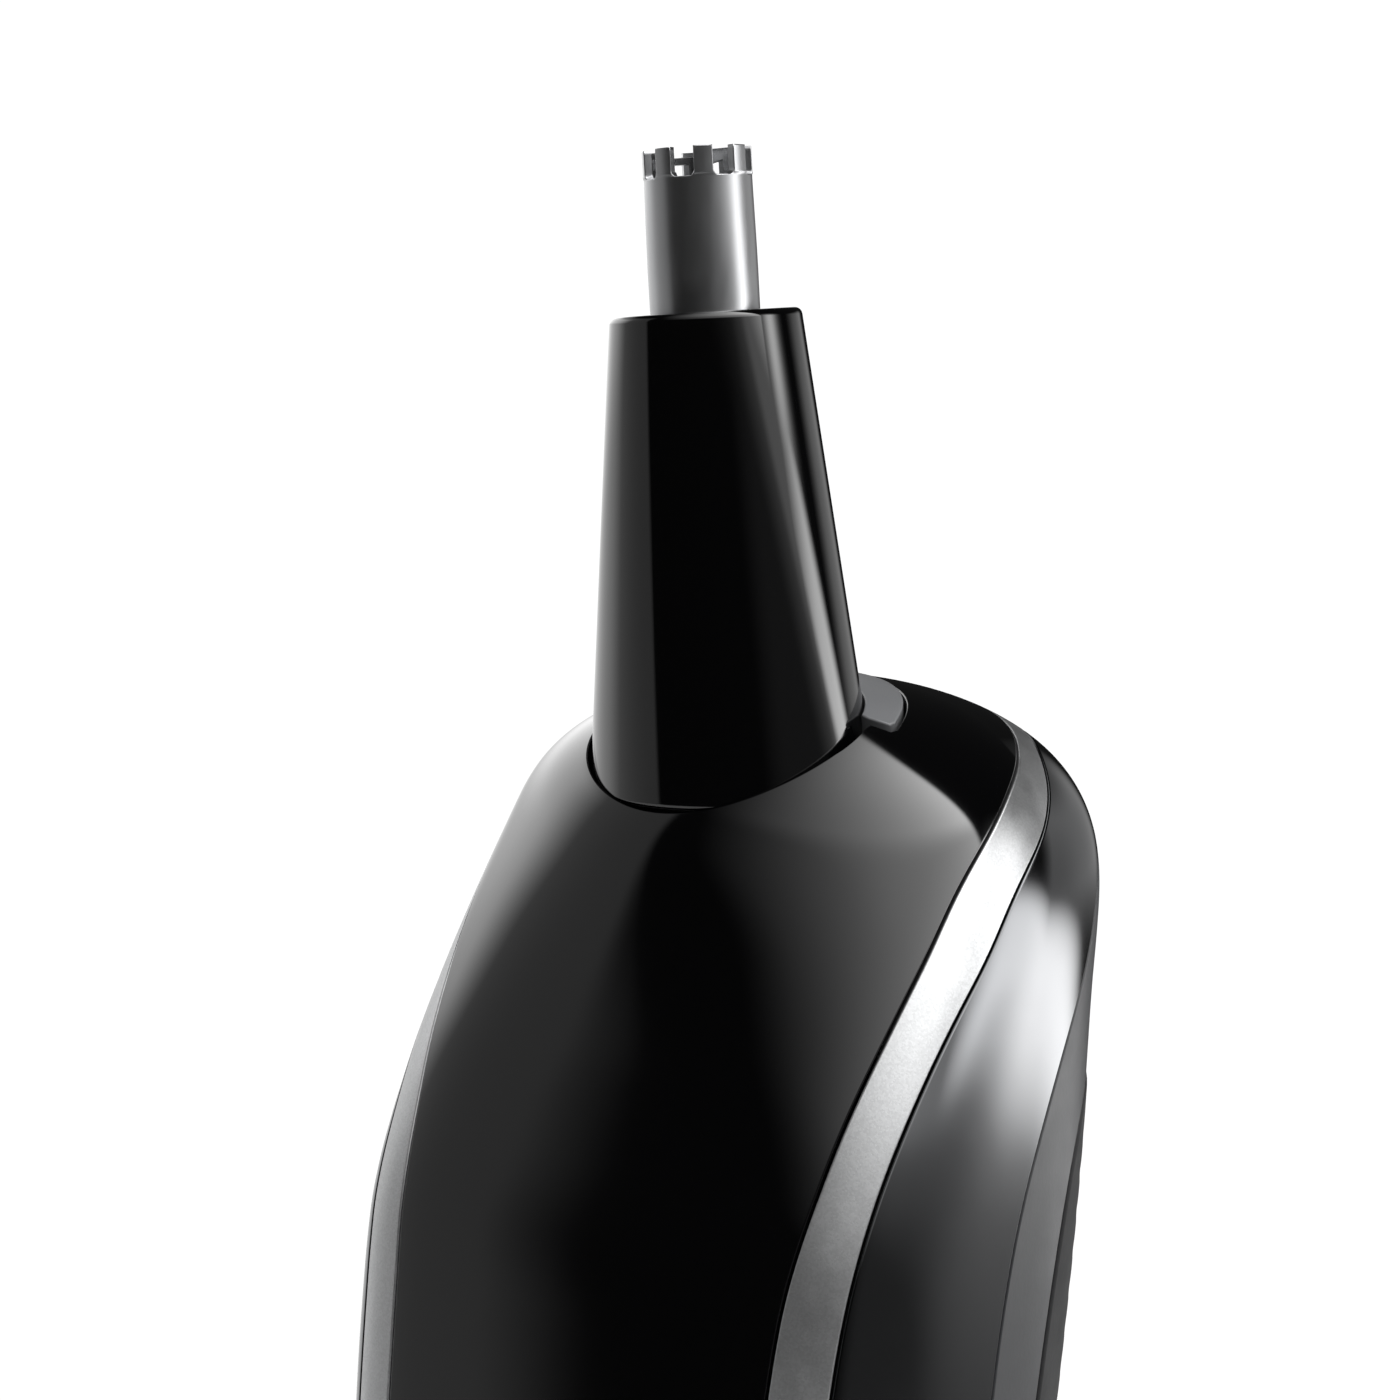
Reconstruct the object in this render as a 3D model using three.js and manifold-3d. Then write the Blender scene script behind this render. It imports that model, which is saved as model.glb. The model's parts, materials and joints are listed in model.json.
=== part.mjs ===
// Nose hair trimmer: a cutting head that plugs into a cordless grooming handle.
// Millimetres, +Z up along the handle, front face towards -Y, origin at the centre of the base.
import * as THREE from 'three';
import Module from 'manifold-3d';
import { mergeVertices } from 'three/addons/utils/BufferGeometryUtils.js';

const wasm = await Module();
wasm.setup();

// ---------------------------------------------------------------- driving dimensions
const GAP = 0.3;                  // clearance between neighbouring pieces
const BODY_TOP = 139.9;           // top of the handle's shoulder
const DOME_HEIGHT = 12.5;         // height over which the shoulder rounds over
const DOME_Y = 7.5;               // front-back place of the shoulder's highest point
const WALL = 2.2;                 // casing wall
const BASE_HEIGHT = 8;            // height of the bottom cap
const AXIS_TOP = [0, -11, 162];   // head axis where it leaves the cone
const AXIS_TILT = 12;             // degrees the head leans forward
const CONE_TOP_R = 6.1;
const CONE_BASE_R = 9.9;
const CONE_LENGTH = 30.6;
const CONE_SQUASH = 0.17;         // how much shallower than wide the cone is at its base
const TUBE_R = 3.5;
const TUBE_BORE_R = 3.0;
const TUBE_TOP = 10.05;
const SLOT_FLOOR = 8.28;
const SLOT_WIDTH = 1.5;
const SLOT_COUNT = 8;
const SLOT_TURN = 19.7;            // degrees round from the right to the first slot
const TAB_OUTER_R = 11.7;
const TAB_START = 16;             // degrees round from the right where the thumb tab starts
const COLLAR_OPENING = [10.5, 8.6, 0.2];  // half width, half depth, shift back
const CRANK_OFFSET = 1.9;
const CRANK_R = 0.75;
const FAR = 60;                   // larger than any cut needs

// Side outlines of the casing, as [height, value] pairs
const frontLine = profile([[0, -15.2], [30, -16.6], [60, -18.6], [85, -19.3], [102, -18.7],
  [112, -16.7], [121, -14.7], [131, -13.5], [140, -12.4]]);
const rearLine = profile([[0, 14], [40, 14.6], [80, 16], [105, 17], [125, 17], [140, 17.6]]);
const halfWidth = profile([[0, 17.2], [35, 17], [70, 19.2], [95, 20.6], [112, 21], [140, 20.7]]);
const widestLine = profile([[0, -0.6], [60, -1], [118, -0.4], [132, 2.1], [140, 2.1]]);
const FACE_CUT_DEPTH = -8;        // the front parting cuts stop this far back
const REAR_POWER = 3.45;          // squareness of the rear half of each section

// Parting lines: seen from the side as [depth, height], and from the front as [half width, height]
const TRIM_FRONT_SIDE = [[-12.2, 118], [-10.6, 120.6], [-9, 122.9], [-5.65, 127.7], [-1, 132.5],
  [3.1, 134.9], [7.8, 137], [11.3, 138.7], [14, 140]];
const TRIM_FRONT_FACE = [[12.3, 0], [12.2, 30], [13.4, 60], [14.4, 90], [15.05, 102.6],
  [15.85, 109.35], [16.5, 113.8], [17.2, 118]];
const TRIM_REAR_SIDE = [[-9.4, 118], [-7.3, 120.7], [-5.3, 123], [-1.7, 127.7], [3.8, 132.5],
  [7.25, 135.4], [10.5, 136.7], [13.6, 137.4], [19, 138.2]];
const TRIM_REAR_FACE = [[15, 0], [14.9, 30], [16.5, 60], [17.8, 90], [18.4, 103], [18.8, 109.6],
  [19.2, 113.8], [19.6, 118]];
const COVER_SIDE = [[-1, 0], [-1.5, 60], [-2, 80], [-1.85, 96], [-1.2, 103], [0, 107.8],
  [2.1, 112.5], [4.7, 117.3], [7.75, 122.2], [9.3, 127], [12.5, 131], [22, 133.8]];
const GRIP_SIDE = [[12, 22], [6, 25], [3.6, 32], [3.4, 50], [4, 80], [4.7, 94], [6, 104.2],
  [8.1, 110.7], [12, 114.8], [24, 117.5]];

// Power switch on the front
const SWITCH_Z = 71;
const RING_SIZE = [7.4, 14.6];
const RING_WIDTH = 1;
const SWITCH_RECESS = 1.2;
const LAMP_Z = 50;
const CASE_SCREW_HEIGHTS = [16.5, 82];
const MOTOR_SCREW_X = 6;

// ---------------------------------------------------------------- materials
const COLOURS = {
  gloss_black: [0x0b0c0e, 0.12, 0],
  dark_gloss: [0x24262a, 0.2, 0],
  satin_grey: [0x3b3d41, 0.45, 0],
  rubber: [0x1c1d1f, 0.85, 0],
  silver: [0xc2c4c7, 0.32, 0.9],
  tab_grey: [0x77797d, 0.5, 0],
  steel: [0xb4b6b8, 0.3, 1],
  blade_steel: [0xd0d2d4, 0.22, 1],
  white_plastic: [0xd9d9d4, 0.5, 0],
  brass: [0xc0a060, 0.35, 1],
  board: [0x1f5a38, 0.5, 0],
  cell: [0x2e6da4, 0.4, 0],
  lens: [0xe8f2ea, 0.15, 0],
  red_wire: [0xa02020, 0.5, 0],
  black_wire: [0x151515, 0.5, 0],
};
const materials = Object.fromEntries(Object.entries(COLOURS).map(([name, [color, roughness, metalness]]) =>
  [name, new THREE.MeshStandardMaterial({ name, color, roughness, metalness })]));

// ---------------------------------------------------------------- geometry helpers

// Smooth curve through [place, value] pairs that never overshoots between them
function profile(points) {
  const at = points.map((point) => point[0]);
  const value = points.map((point) => point[1]);
  const last = at.length - 1;
  const slope = at.slice(1).map((place, i) => (value[i + 1] - value[i]) / (place - at[i]));
  const tangent = at.map((place, i) => {
    if (i === 0) return slope[0];
    if (i === last) return slope[last - 1];
    if (slope[i - 1] * slope[i] <= 0) return 0;
    const before = at[i] - at[i - 1];
    const after = at[i + 1] - at[i];
    const w1 = 2 * after + before;
    const w2 = after + 2 * before;
    return (w1 + w2) / (w1 / slope[i - 1] + w2 / slope[i]);
  });
  return (place) => {
    const p = Math.min(Math.max(place, at[0]), at[last]);
    let i = 0;
    while (i < last - 1 && p > at[i + 1]) i += 1;
    const span = at[i + 1] - at[i];
    const t = (p - at[i]) / span;
    const u = 1 - t;
    return value[i] * (1 + 2 * t) * u * u + tangent[i] * span * t * u * u
      + value[i + 1] * t * t * (3 - 2 * t) - tangent[i + 1] * span * t * t * u;
  };
}

// Closed solid from a closed mesh
function solid(geometry) {
  const bare = geometry.clone();
  bare.deleteAttribute('normal');
  bare.deleteAttribute('uv');
  const merged = mergeVertices(bare, 1e-4);
  const index = merged.index.array;
  const triangles = [];
  for (let i = 0; i < index.length; i += 3) {
    const [a, b, c] = [index[i], index[i + 1], index[i + 2]];
    if (a !== b && b !== c && c !== a) triangles.push(a, b, c);
  }
  const mesh = new wasm.Mesh({
    numProp: 3,
    vertProperties: new Float32Array(merged.attributes.position.array),
    triVerts: Uint32Array.from(triangles),
  });
  return new wasm.Manifold(mesh);
}

function joined(...parts) {
  return parts.reduce((whole, part) => whole.add(part));
}

function toGeometry(body) {
  const { numProp, vertProperties, triVerts } = body.getMesh();
  const count = vertProperties.length / numProp;
  const position = new Float32Array(count * 3);
  for (let i = 0; i < count; i += 1) {
    for (let k = 0; k < 3; k += 1) {
      position[3 * i + k] = Math.round(vertProperties[numProp * i + k] * 1e4) / 1e4;
    }
  }
  const geometry = new THREE.BufferGeometry();
  geometry.setAttribute('position', new THREE.BufferAttribute(position, 3));
  geometry.setIndex(Array.from(triVerts));
  geometry.computeVertexNormals();
  return geometry;
}

// Turned piece about Z from a closed outline of [radius, height] points, run anticlockwise
function turned(outline, segments = 24) {
  const points = [...outline, outline[0]].map(([r, z]) => new THREE.Vector2(r, z));
  return new THREE.LatheGeometry(points, segments).rotateX(Math.PI / 2);
}

function pipe(inner, outer, low, high, segments = 24) {
  return turned([[inner, low], [outer, low], [outer, high], [inner, high]], segments);
}

function rod(radius, low, high, segments = 20) {
  return turned([[0, low], [radius, low], [radius, high], [0, high]], segments);
}

function rodAlongY(radius, front, rear, x, z, segments = 16) {
  return rod(radius, front, rear, segments).rotateX(-Math.PI / 2).translate(x, 0, z);
}

function box(low, high) {
  const size = high.map((value, k) => value - low[k]);
  const centre = high.map((value, k) => (value + low[k]) / 2);
  return new THREE.BoxGeometry(...size).translate(...centre);
}

// Prism across X from an outline of [depth, height] points
function sidePrism(outline, from = -FAR, to = FAR) {
  const shape = new THREE.Shape(outline.map(([y, z]) => new THREE.Vector2(y, z)));
  const prism = new THREE.ExtrudeGeometry(shape, { depth: to - from, bevelEnabled: false });
  const axes = [new THREE.Vector3(0, 1, 0), new THREE.Vector3(0, 0, 1), new THREE.Vector3(1, 0, 0)];
  return prism.applyMatrix4(new THREE.Matrix4().makeBasis(...axes)).translate(from, 0, 0);
}

// Prism along Y from a shape drawn in X and Z
function facePrism(shape, from, to) {
  const prism = new THREE.ExtrudeGeometry(shape, { depth: to - from, bevelEnabled: false, curveSegments: 12 });
  const axes = [new THREE.Vector3(1, 0, 0), new THREE.Vector3(0, 0, 1), new THREE.Vector3(0, -1, 0)];
  return prism.applyMatrix4(new THREE.Matrix4().makeBasis(...axes)).translate(0, to, 0);
}

function ovalShape(halfX, halfZ, centreZ) {
  return new THREE.Shape().absellipse(0, centreZ, halfX, halfZ, 0, Math.PI * 2);
}

// Smooth run of points through a few outline points, moved sideways by shift
function parting(points, shift, steps = 2) {
  const curve = new THREE.SplineCurve(points.map(([u, v]) => new THREE.Vector2(u, v)));
  const count = (points.length - 1) * steps;
  return Array.from({ length: count + 1 }, (_, i) => {
    const point = curve.getPoint(i / count);
    const along = curve.getTangent(i / count);
    return [point.x + along.y * shift, point.y - along.x * shift];
  });
}

// Into the leaning frame of the head's axis
const axisMatrix = new THREE.Matrix4().makeRotationX(THREE.MathUtils.degToRad(AXIS_TILT))
  .setPosition(...AXIS_TOP);
function onAxis(geometry) {
  return geometry.clone().applyMatrix4(axisMatrix);
}

// ---------------------------------------------------------------- outer form of the handle

function smooth(t) {
  const u = Math.min(Math.max(t, 0), 1);
  return u * u * (3 - 2 * u);
}

// Closed section at one height, offset outwards by grow; dome runs from 1 at the wall to 0 at the top
function section(height, dome, grow, count) {
  const front = DOME_Y - (DOME_Y - frontLine(height) + grow) * dome;
  const rear = DOME_Y + (rearLine(height) + grow - DOME_Y) * dome;
  const middle = DOME_Y - (DOME_Y - widestLine(height)) * dome;
  const width = (halfWidth(height) + grow) * dome;
  const frontPower = 2 + 3.9 * smooth((130 - height) / 32);
  return Array.from({ length: count }, (_, i) => {
    const angle = (i / count) * Math.PI * 2;
    const [c, s] = [Math.cos(angle), Math.sin(angle)];
    const power = 2 / (s < 0 ? frontPower : REAR_POWER);
    const depth = s < 0 ? middle - front : rear - middle;
    return [
      Math.sign(c) * width * Math.abs(c) ** power,
      middle + Math.sign(s) * depth * Math.abs(s) ** power,
      height,
    ];
  });
}

// The whole handle form as one closed solid, offset outwards by grow
function handleForm(grow, count = 32) {
  const rings = [];
  const straight = [0, 0.9, 20, 40, 60, 80, 94, 104, 112, 119];
  const bottomInset = (height) => (height === 0 ? grow - 0.9 : grow);
  for (const height of straight) rings.push(section(height, 1, bottomInset(height), count));
  const domeSteps = 6;
  for (let i = 0; i < domeSteps; i += 1) {
    const angle = (i / domeSteps) * Math.PI / 2;
    const height = BODY_TOP + grow - DOME_HEIGHT * (1 - Math.sin(angle));
    rings.push(section(height, Math.cos(angle), grow, count));
  }
  const points = rings.flat();
  const index = [];
  for (let ring = 0; ring < rings.length - 1; ring += 1) {
    for (let i = 0; i < count; i += 1) {
      const next = (i + 1) % count;
      const [a, b] = [ring * count + i, ring * count + next];
      index.push(a, b, b + count, a, b + count, a + count);
    }
  }
  const bottom = points.push([0, 0, 0]) - 1;
  const top = points.push([0, DOME_Y, BODY_TOP + grow]) - 1;
  const lastRing = (rings.length - 1) * count;
  for (let i = 0; i < count; i += 1) {
    const next = (i + 1) % count;
    index.push(bottom, next, i);
    index.push(top, lastRing + i, lastRing + next);
  }
  const geometry = new THREE.BufferGeometry();
  geometry.setAttribute('position', new THREE.Float32BufferAttribute(points.flat(), 3));
  geometry.setIndex(index);
  return solid(geometry);
}

const form = handleForm(0);
const casing = form.subtract(handleForm(-WALL))
  .intersect(solid(box([-FAR, -FAR, BASE_HEIGHT + GAP], [FAR, FAR, 3 * FAR])));

// Straight run-out added to one end of a line
function runOut(from, towards, length) {
  const [du, dv] = [from[0] - towards[0], from[1] - towards[1]];
  const scale = length / Math.hypot(du, dv);
  return [from[0] + du * scale, from[1] + dv * scale];
}

// Everything in front of a trim edge: a side cut high up, a front cut lower down
function inFrontOf(sideLine, faceLine, shift) {
  const side = parting(sideLine, shift);
  const overrun = 0.5 + 2 * shift;
  side.unshift(runOut(side[0], side[1], overrun));
  const upper = solid(sidePrism([...side, [side.at(-1)[0], 3 * FAR], [-FAR, 3 * FAR], [-FAR, side[0][1]]]));
  const right = parting(faceLine, shift);
  right.push(runOut(right.at(-1), right.at(-2), overrun));
  const left = right.map(([x, z]) => [-x, z]).reverse();
  const outline = new THREE.Shape([...right, ...left].map(([x, z]) => new THREE.Vector2(x, z)));
  return upper.add(solid(facePrism(outline, -FAR, FACE_CUT_DEPTH + 2 * shift)));
}

function behind(sideLine, shift) {
  const side = parting(sideLine, shift);
  return solid(sidePrism([...side, [FAR, side.at(-1)[1]], [FAR, side[0][1]]]));
}

// Sector of a disc behind the head's axis, as deep as the thumb tab reaches round it
function tabSector(radius, start, low, high) {
  const [from, to] = [start, 180 - start].map(THREE.MathUtils.degToRad);
  const shape = new THREE.Shape().moveTo(0, 0);
  shape.absarc(0, 0, radius, from, to, false);
  shape.lineTo(0, 0);
  const wedge = new THREE.ExtrudeGeometry(shape, { depth: high - low, bevelEnabled: false, curveSegments: 12 });
  return solid(onAxis(wedge.translate(0, 0, low)));
}

function oval(halfX, halfY, shiftY, low, high) {
  return solid(onAxis(rod(1, low, high, 32).scale(halfX, halfY, 1).translate(0, shiftY, 0)));
}

// Hole in the shoulder that takes the head: an oval with a wider pocket for the thumb tab
const headOpening = joined(
  oval(...COLLAR_OPENING, -36, 8),
  tabSector(TAB_OUTER_R + GAP, TAB_START - 1.5, -36, 8),
);

// ---------------------------------------------------------------- casing pieces

function frontPanel() {
  const slot = solid(box([-2.5, -FAR, 63], [2.5, -8, 79]));
  const recess = solid(facePrism(ovalShape(RING_SIZE[0] + GAP, RING_SIZE[1] + GAP, SWITCH_Z), -FAR, 0))
    .subtract(handleForm(-SWITCH_RECESS));
  const lampHole = solid(rodAlongY(1.4, -FAR, -8, 0, LAMP_Z));
  return casing.intersect(inFrontOf(TRIM_FRONT_SIDE, TRIM_FRONT_FACE, -GAP / 2))
    .subtract(headOpening).subtract(slot).subtract(recess).subtract(lampHole);
}

function silverTrim() {
  return casing.intersect(inFrontOf(TRIM_REAR_SIDE, TRIM_REAR_FACE, -GAP / 2))
    .subtract(inFrontOf(TRIM_FRONT_SIDE, TRIM_FRONT_FACE, GAP / 2));
}

function sideShell() {
  return casing.subtract(inFrontOf(TRIM_REAR_SIDE, TRIM_REAR_FACE, GAP / 2))
    .subtract(behind(COVER_SIDE, -GAP / 2));
}

const gripRegion = (shift) => behind(GRIP_SIDE, shift);

function rearCover() {
  const pocket = handleForm(1).subtract(handleForm(-1.4)).intersect(gripRegion(-GAP));
  return casing.intersect(behind(COVER_SIDE, GAP / 2)).subtract(pocket);
}

function rearGrip() {
  return form.subtract(handleForm(-1.1)).intersect(gripRegion(0));
}

function bottomCap() {
  const block = form.intersect(solid(box([-FAR, -FAR, -1], [FAR, FAR, BASE_HEIGHT])));
  const hollow = handleForm(-WALL).intersect(solid(box([-FAR, -FAR, 2.2], [FAR, FAR, FAR])));
  const boss = solid(box([-5.6, 2.8, 1], [5.6, 10.8, BASE_HEIGHT]));
  return block.subtract(hollow).add(boss).subtract(solid(box([-4.2, 4.1, -1], [4.2, 9.5, FAR])));
}

function switchRing() {
  const outer = solid(facePrism(ovalShape(...RING_SIZE, SWITCH_Z), -FAR, 0));
  const [halfX, halfZ] = RING_SIZE.map((half) => half - RING_WIDTH);
  const inner = solid(facePrism(ovalShape(halfX, halfZ, SWITCH_Z), -FAR, 0));
  return form.subtract(handleForm(-SWITCH_RECESS + GAP)).intersect(outer).subtract(inner);
}

function slideButton() {
  const plate = new THREE.Shape();
  plate.moveTo(-4.4, 62.4).lineTo(-4.4, 72.2).quadraticCurveTo(-4.2, 76.4, 0, 76.4);
  plate.quadraticCurveTo(4.2, 76.4, 4.4, 72.2).lineTo(4.4, 62.4).quadraticCurveTo(4.2, 58.9, 0, 58.9);
  plate.quadraticCurveTo(-4.2, 58.9, -4.4, 62.4);
  const pad = handleForm(1.3).subtract(handleForm(-SWITCH_RECESS + 1.5 * GAP))
    .intersect(solid(facePrism(plate, -FAR, 0)));
  const ribs = [64, 66.5, 69, 71.5].map((z) => handleForm(1.9).subtract(handleForm(0.9))
    .intersect(solid(box([-3.2, -FAR, z - 0.5], [3.2, 0, z + 0.5]))));
  const stem = solid(box([-2.1, -18.6, 65], [2.1, -16.3, 70.5]));
  return joined(pad, stem, ...ribs);
}

function lightPipe() {
  return solid(rodAlongY(1.1, -FAR, -10.9, 0, LAMP_Z)).intersect(form);
}

// ---------------------------------------------------------------- head pieces

// The cone gets shallower front to back towards its base
function squash(geometry, rate = CONE_SQUASH) {
  const position = geometry.attributes.position;
  for (let i = 0; i < position.count; i += 1) {
    const down = Math.max(-position.getZ(i), 0) / CONE_LENGTH;
    position.setY(i, position.getY(i) * (1 - rate * down));
  }
  return geometry;
}

function coneShell() {
  const outline = [[TUBE_R + GAP, 0], [5.55, 0], [5.95, -0.17], [CONE_TOP_R, -0.6],
    [CONE_BASE_R, -CONE_LENGTH], [7.8, -CONE_LENGTH], [4.8, -1.5], [TUBE_R + GAP, -1.5]];
  const cone = solid(squash(turned(outline.reverse(), 36)));
  const ribOutline = [[6.2, -13.8], [6.72, -13.8], [7.35, -17], [7.98, -24.6], [6.9, -24.6]];
  return cone.add(solid(sidePrism(ribOutline, -1.3, 1.3)));
}

function guardTube() {
  const outline = [[TUBE_BORE_R, -22], [4.5, -22], [4.5, -20.8], [TUBE_R, -20.8], [TUBE_R, 2],
    [3.42, TUBE_TOP - 0.4], [3.2, TUBE_TOP], [TUBE_BORE_R, TUBE_TOP]];
  const slots = Array.from({ length: SLOT_COUNT / 2 }, (_, i) => {
    const turn = THREE.MathUtils.degToRad(SLOT_TURN) + (i * 2 * Math.PI) / SLOT_COUNT;
    const low = [-5, -SLOT_WIDTH / 2, SLOT_FLOOR];
    return solid(box(low, [5, SLOT_WIDTH / 2, 20]).rotateZ(turn));
  });
  return solid(turned(outline, 32)).subtract(joined(...slots));
}

// Grey adaptor: a hub inside the cone, a web under it and the thumb tab behind it
function headBase() {
  const hub = solid(onAxis(squash(pipe(4, 6.2, -34, -25.5), 0.06)));
  const web = tabSector(TAB_OUTER_R, TAB_START, -34, -31.2).subtract(oval(4.6, 4.6, 0, -40, 10));
  const tab = tabSector(TAB_OUTER_R, TAB_START, -34, 6)
    .subtract(oval(CONE_BASE_R + 0.2, 8.5, 0, -40, 10)).intersect(handleForm(0.3));
  return joined(hub, web.intersect(handleForm(0.3)), tab);
}

function cutterBlade() {
  const sleeve = solid(pipe(1.5, 2.3, 1.5, 5));
  const legs = [0, Math.PI].map((turn) =>
    solid(box([1.75, -0.55, 4.2], [2.6, 0.55, 9.3]).rotateZ(turn)));
  const bar = solid(box([-2.6, -0.55, 7.9], [2.6, 0.55, 9.3]));
  return joined(sleeve, bar, ...legs);
}

function cutterSpring() {
  const turns = 3;
  const steps = turns * 12;
  const path = new THREE.CatmullRomCurve3(Array.from({ length: steps + 1 }, (_, i) => {
    const angle = (i / steps) * turns * Math.PI * 2;
    return new THREE.Vector3(2 * Math.cos(angle), 2 * Math.sin(angle), -23.3 + (2.8 * i) / steps);
  }));
  return solid(wireAlong(path, 0.25, steps));
}

function wireAlong(path, radius, steps) {
  const shape = new THREE.Shape();
  const sides = 6;
  for (let i = 0; i < sides; i += 1) {
    const angle = (i / sides) * Math.PI * 2;
    const point = [radius * Math.cos(angle), radius * Math.sin(angle)];
    if (i === 0) shape.moveTo(...point);
    else shape.lineTo(...point);
  }
  return new THREE.ExtrudeGeometry(shape, { steps, extrudePath: path, bevelEnabled: false });
}

function driveFork() {
  const half = CRANK_R + GAP;
  return solid(rod(3.4, -30.5, -23.9)).subtract(solid(box([-4, -half, -31], [4, half, -26.6])));
}

// ---------------------------------------------------------------- drive pieces in the handle

function eccentricHub() {
  return solid(rod(3.2, -40.6, -34.8)).subtract(solid(rod(1.3, -41, -37)));
}

function neckSeat() {
  return solid(pipe(4, 7.6, -38, -34.4)).subtract(solid(pipe(4.7, 6.2, -35.3, -34)));
}

function motorCan() {
  const outline = [[0, -64], [8, -64], [8, -43], [3, -43], [3, -41.5], [1.35, -41.5], [1.35, -52.3], [0, -52.3]];
  const holes = [-1, 1].map((side) => solid(rod(1, -45, -42, 12).translate(side * MOTOR_SCREW_X, 0, 0)));
  return solid(turned(outline)).subtract(joined(...holes));
}

function motorMount() {
  const holes = [-1, 1].map((side) => solid(rod(1, -43, -40, 12).translate(side * MOTOR_SCREW_X, 0, 0)));
  return solid(pipe(3.4, 9.5, -42.7, -41)).subtract(joined(...holes));
}

// Pan-head screw pointing down Z, its head resting at height zero
function screw(headR, headHeight, shankR, length) {
  return turned([[0, -length], [shankR, -length], [shankR, GAP], [headR, GAP], [headR, headHeight + GAP],
    [0, headHeight + GAP]], 12);
}

function motorScrew(side) {
  return solid(screw(1.3, 0.8, 0.7, 3).translate(side * MOTOR_SCREW_X, 0, -41));
}

function motorTerminals() {
  const tab = (side) => box([side * 4 - 1, -0.3, -68.2], [side * 4 + 1, 0.3, -66.3]);
  return [-1, 1].map((side) => solid(tab(side)));
}

// ---------------------------------------------------------------- power and control pieces

function chassis() {
  const plate = solid(box([-12.9, -4.6, 14], [12.9, -2.8, 86]));
  const rails = [-1, 1].map((side) =>
    solid(box([Math.min(side * 11.4, side * 12.9), -4.6, 18], [Math.max(side * 11.4, side * 12.9), 4, 78])));
  const holes = CASE_SCREW_HEIGHTS.map((z) => solid(rodAlongY(1.2, -6, 0, 0, z)));
  return joined(plate, ...rails).subtract(joined(...holes));
}

function caseScrew(z) {
  const piece = screw(2.2, 1.2, 0.9, 8).rotateX(Math.PI / 2);
  return solid(piece.translate(0, -4.6, z));
}

function coverWithBosses() {
  const cover = rearCover();
  const inside = handleForm(-WALL / 2);
  const bosses = CASE_SCREW_HEIGHTS.map((z) => solid(rodAlongY(2.6, -2.4, FAR, 0, z)).intersect(inside)
    .subtract(solid(rodAlongY(1.2, -3, 5, 0, z))));
  return joined(cover, ...bosses);
}

function batteryCell() {
  return solid(turned([[0, 21], [7, 21], [7, 68.6], [2.6, 68.6], [2.6, 69.6], [0, 69.6]], 28).translate(0, 4.6, 0));
}

function batteryTab(low) {
  return solid(box([-3, -1.6, low], [3, 8.5, low + 0.4]));
}

function switchSlider() {
  return solid(box([-4.5, -16, 63], [4.5, -12.2, 74]));
}

function socketBody() {
  return solid(box([-5.4, 3, 8.4], [5.4, 10.4, 13.2]))
    .subtract(solid(box([-4.2, 4.1, 8], [4.2, 9.5, 11.8])))
    .subtract(joined(...[-1, 1].map((side) => solid(rod(0.8, 11, 15, 12).translate(side * 1.7, 6.8, 0)))));
}

function socketPin(side) {
  return solid(rod(0.5, 9.2, 13.4, 10).translate(side * 1.7, 6.8, 0));
}

function motorWire(side) {
  const points = [[4, 2.6, 94.6], [4.6, -0.6, 91], [5.2, -4.6, 88.6], [5.6, -8, 85.4], [5.7, -8.2, 80.6]];
  const path = new THREE.CatmullRomCurve3(points.map(([x, y, z]) => new THREE.Vector3(side * x, y, z)));
  return solid(wireAlong(path, 0.6, 12));
}

// ---------------------------------------------------------------- assembly

const trimmer = new THREE.Group();
const leaning = new THREE.Group();
leaning.position.set(...AXIS_TOP);
leaning.rotation.x = THREE.MathUtils.degToRad(AXIS_TILT);
trimmer.add(leaning);

function place(group, name, material, body) {
  const mesh = new THREE.Mesh(toGeometry(body), materials[material]);
  mesh.name = name;
  group.add(mesh);
}

place(trimmer, 'front_panel', 'gloss_black', frontPanel());
place(trimmer, 'silver_trim', 'silver', silverTrim());
place(trimmer, 'side_shell', 'dark_gloss', sideShell());
place(trimmer, 'rear_cover', 'satin_grey', coverWithBosses());
place(trimmer, 'rear_grip', 'rubber', rearGrip());
place(trimmer, 'bottom_cap', 'satin_grey', bottomCap());
place(trimmer, 'switch_ring', 'silver', switchRing());
place(trimmer, 'slide_button', 'gloss_black', slideButton());
place(trimmer, 'switch_slider', 'white_plastic', switchSlider());
place(trimmer, 'light_pipe', 'lens', lightPipe());
place(trimmer, 'charge_lamp', 'lens', solid(box([-1.5, -10.6, LAMP_Z - 1.2], [1.5, -9.3, LAMP_Z + 1.2])));

place(trimmer, 'chassis', 'white_plastic', chassis());
place(trimmer, 'battery_cell', 'cell', batteryCell());
place(trimmer, 'battery_tab_lower', 'steel', batteryTab(20.2));
place(trimmer, 'battery_tab_upper', 'steel', batteryTab(70));
place(trimmer, 'circuit_board', 'board', solid(box([-10.5, -9, 24], [10.5, -7.4, 80])));
place(trimmer, 'switch_contacts', 'brass', solid(box([-4, -11.8, 66], [4, -9.3, 73])));
place(trimmer, 'capacitor', 'black_wire', solid(rodAlongY(2.5, -14.2, -9.3, -6, 34, 20)));
place(trimmer, 'charge_chip', 'black_wire', solid(box([2, -10.5, 32], [7, -9.3, 37])));
place(trimmer, 'charging_socket', 'black_wire', socketBody());
place(trimmer, 'socket_pin_left', 'brass', socketPin(-1));
place(trimmer, 'socket_pin_right', 'brass', socketPin(1));
place(trimmer, 'motor_wire_red', 'red_wire', motorWire(-1));
place(trimmer, 'motor_wire_black', 'black_wire', motorWire(1));
place(trimmer, 'case_screw_lower', 'steel', caseScrew(CASE_SCREW_HEIGHTS[0]));
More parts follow.
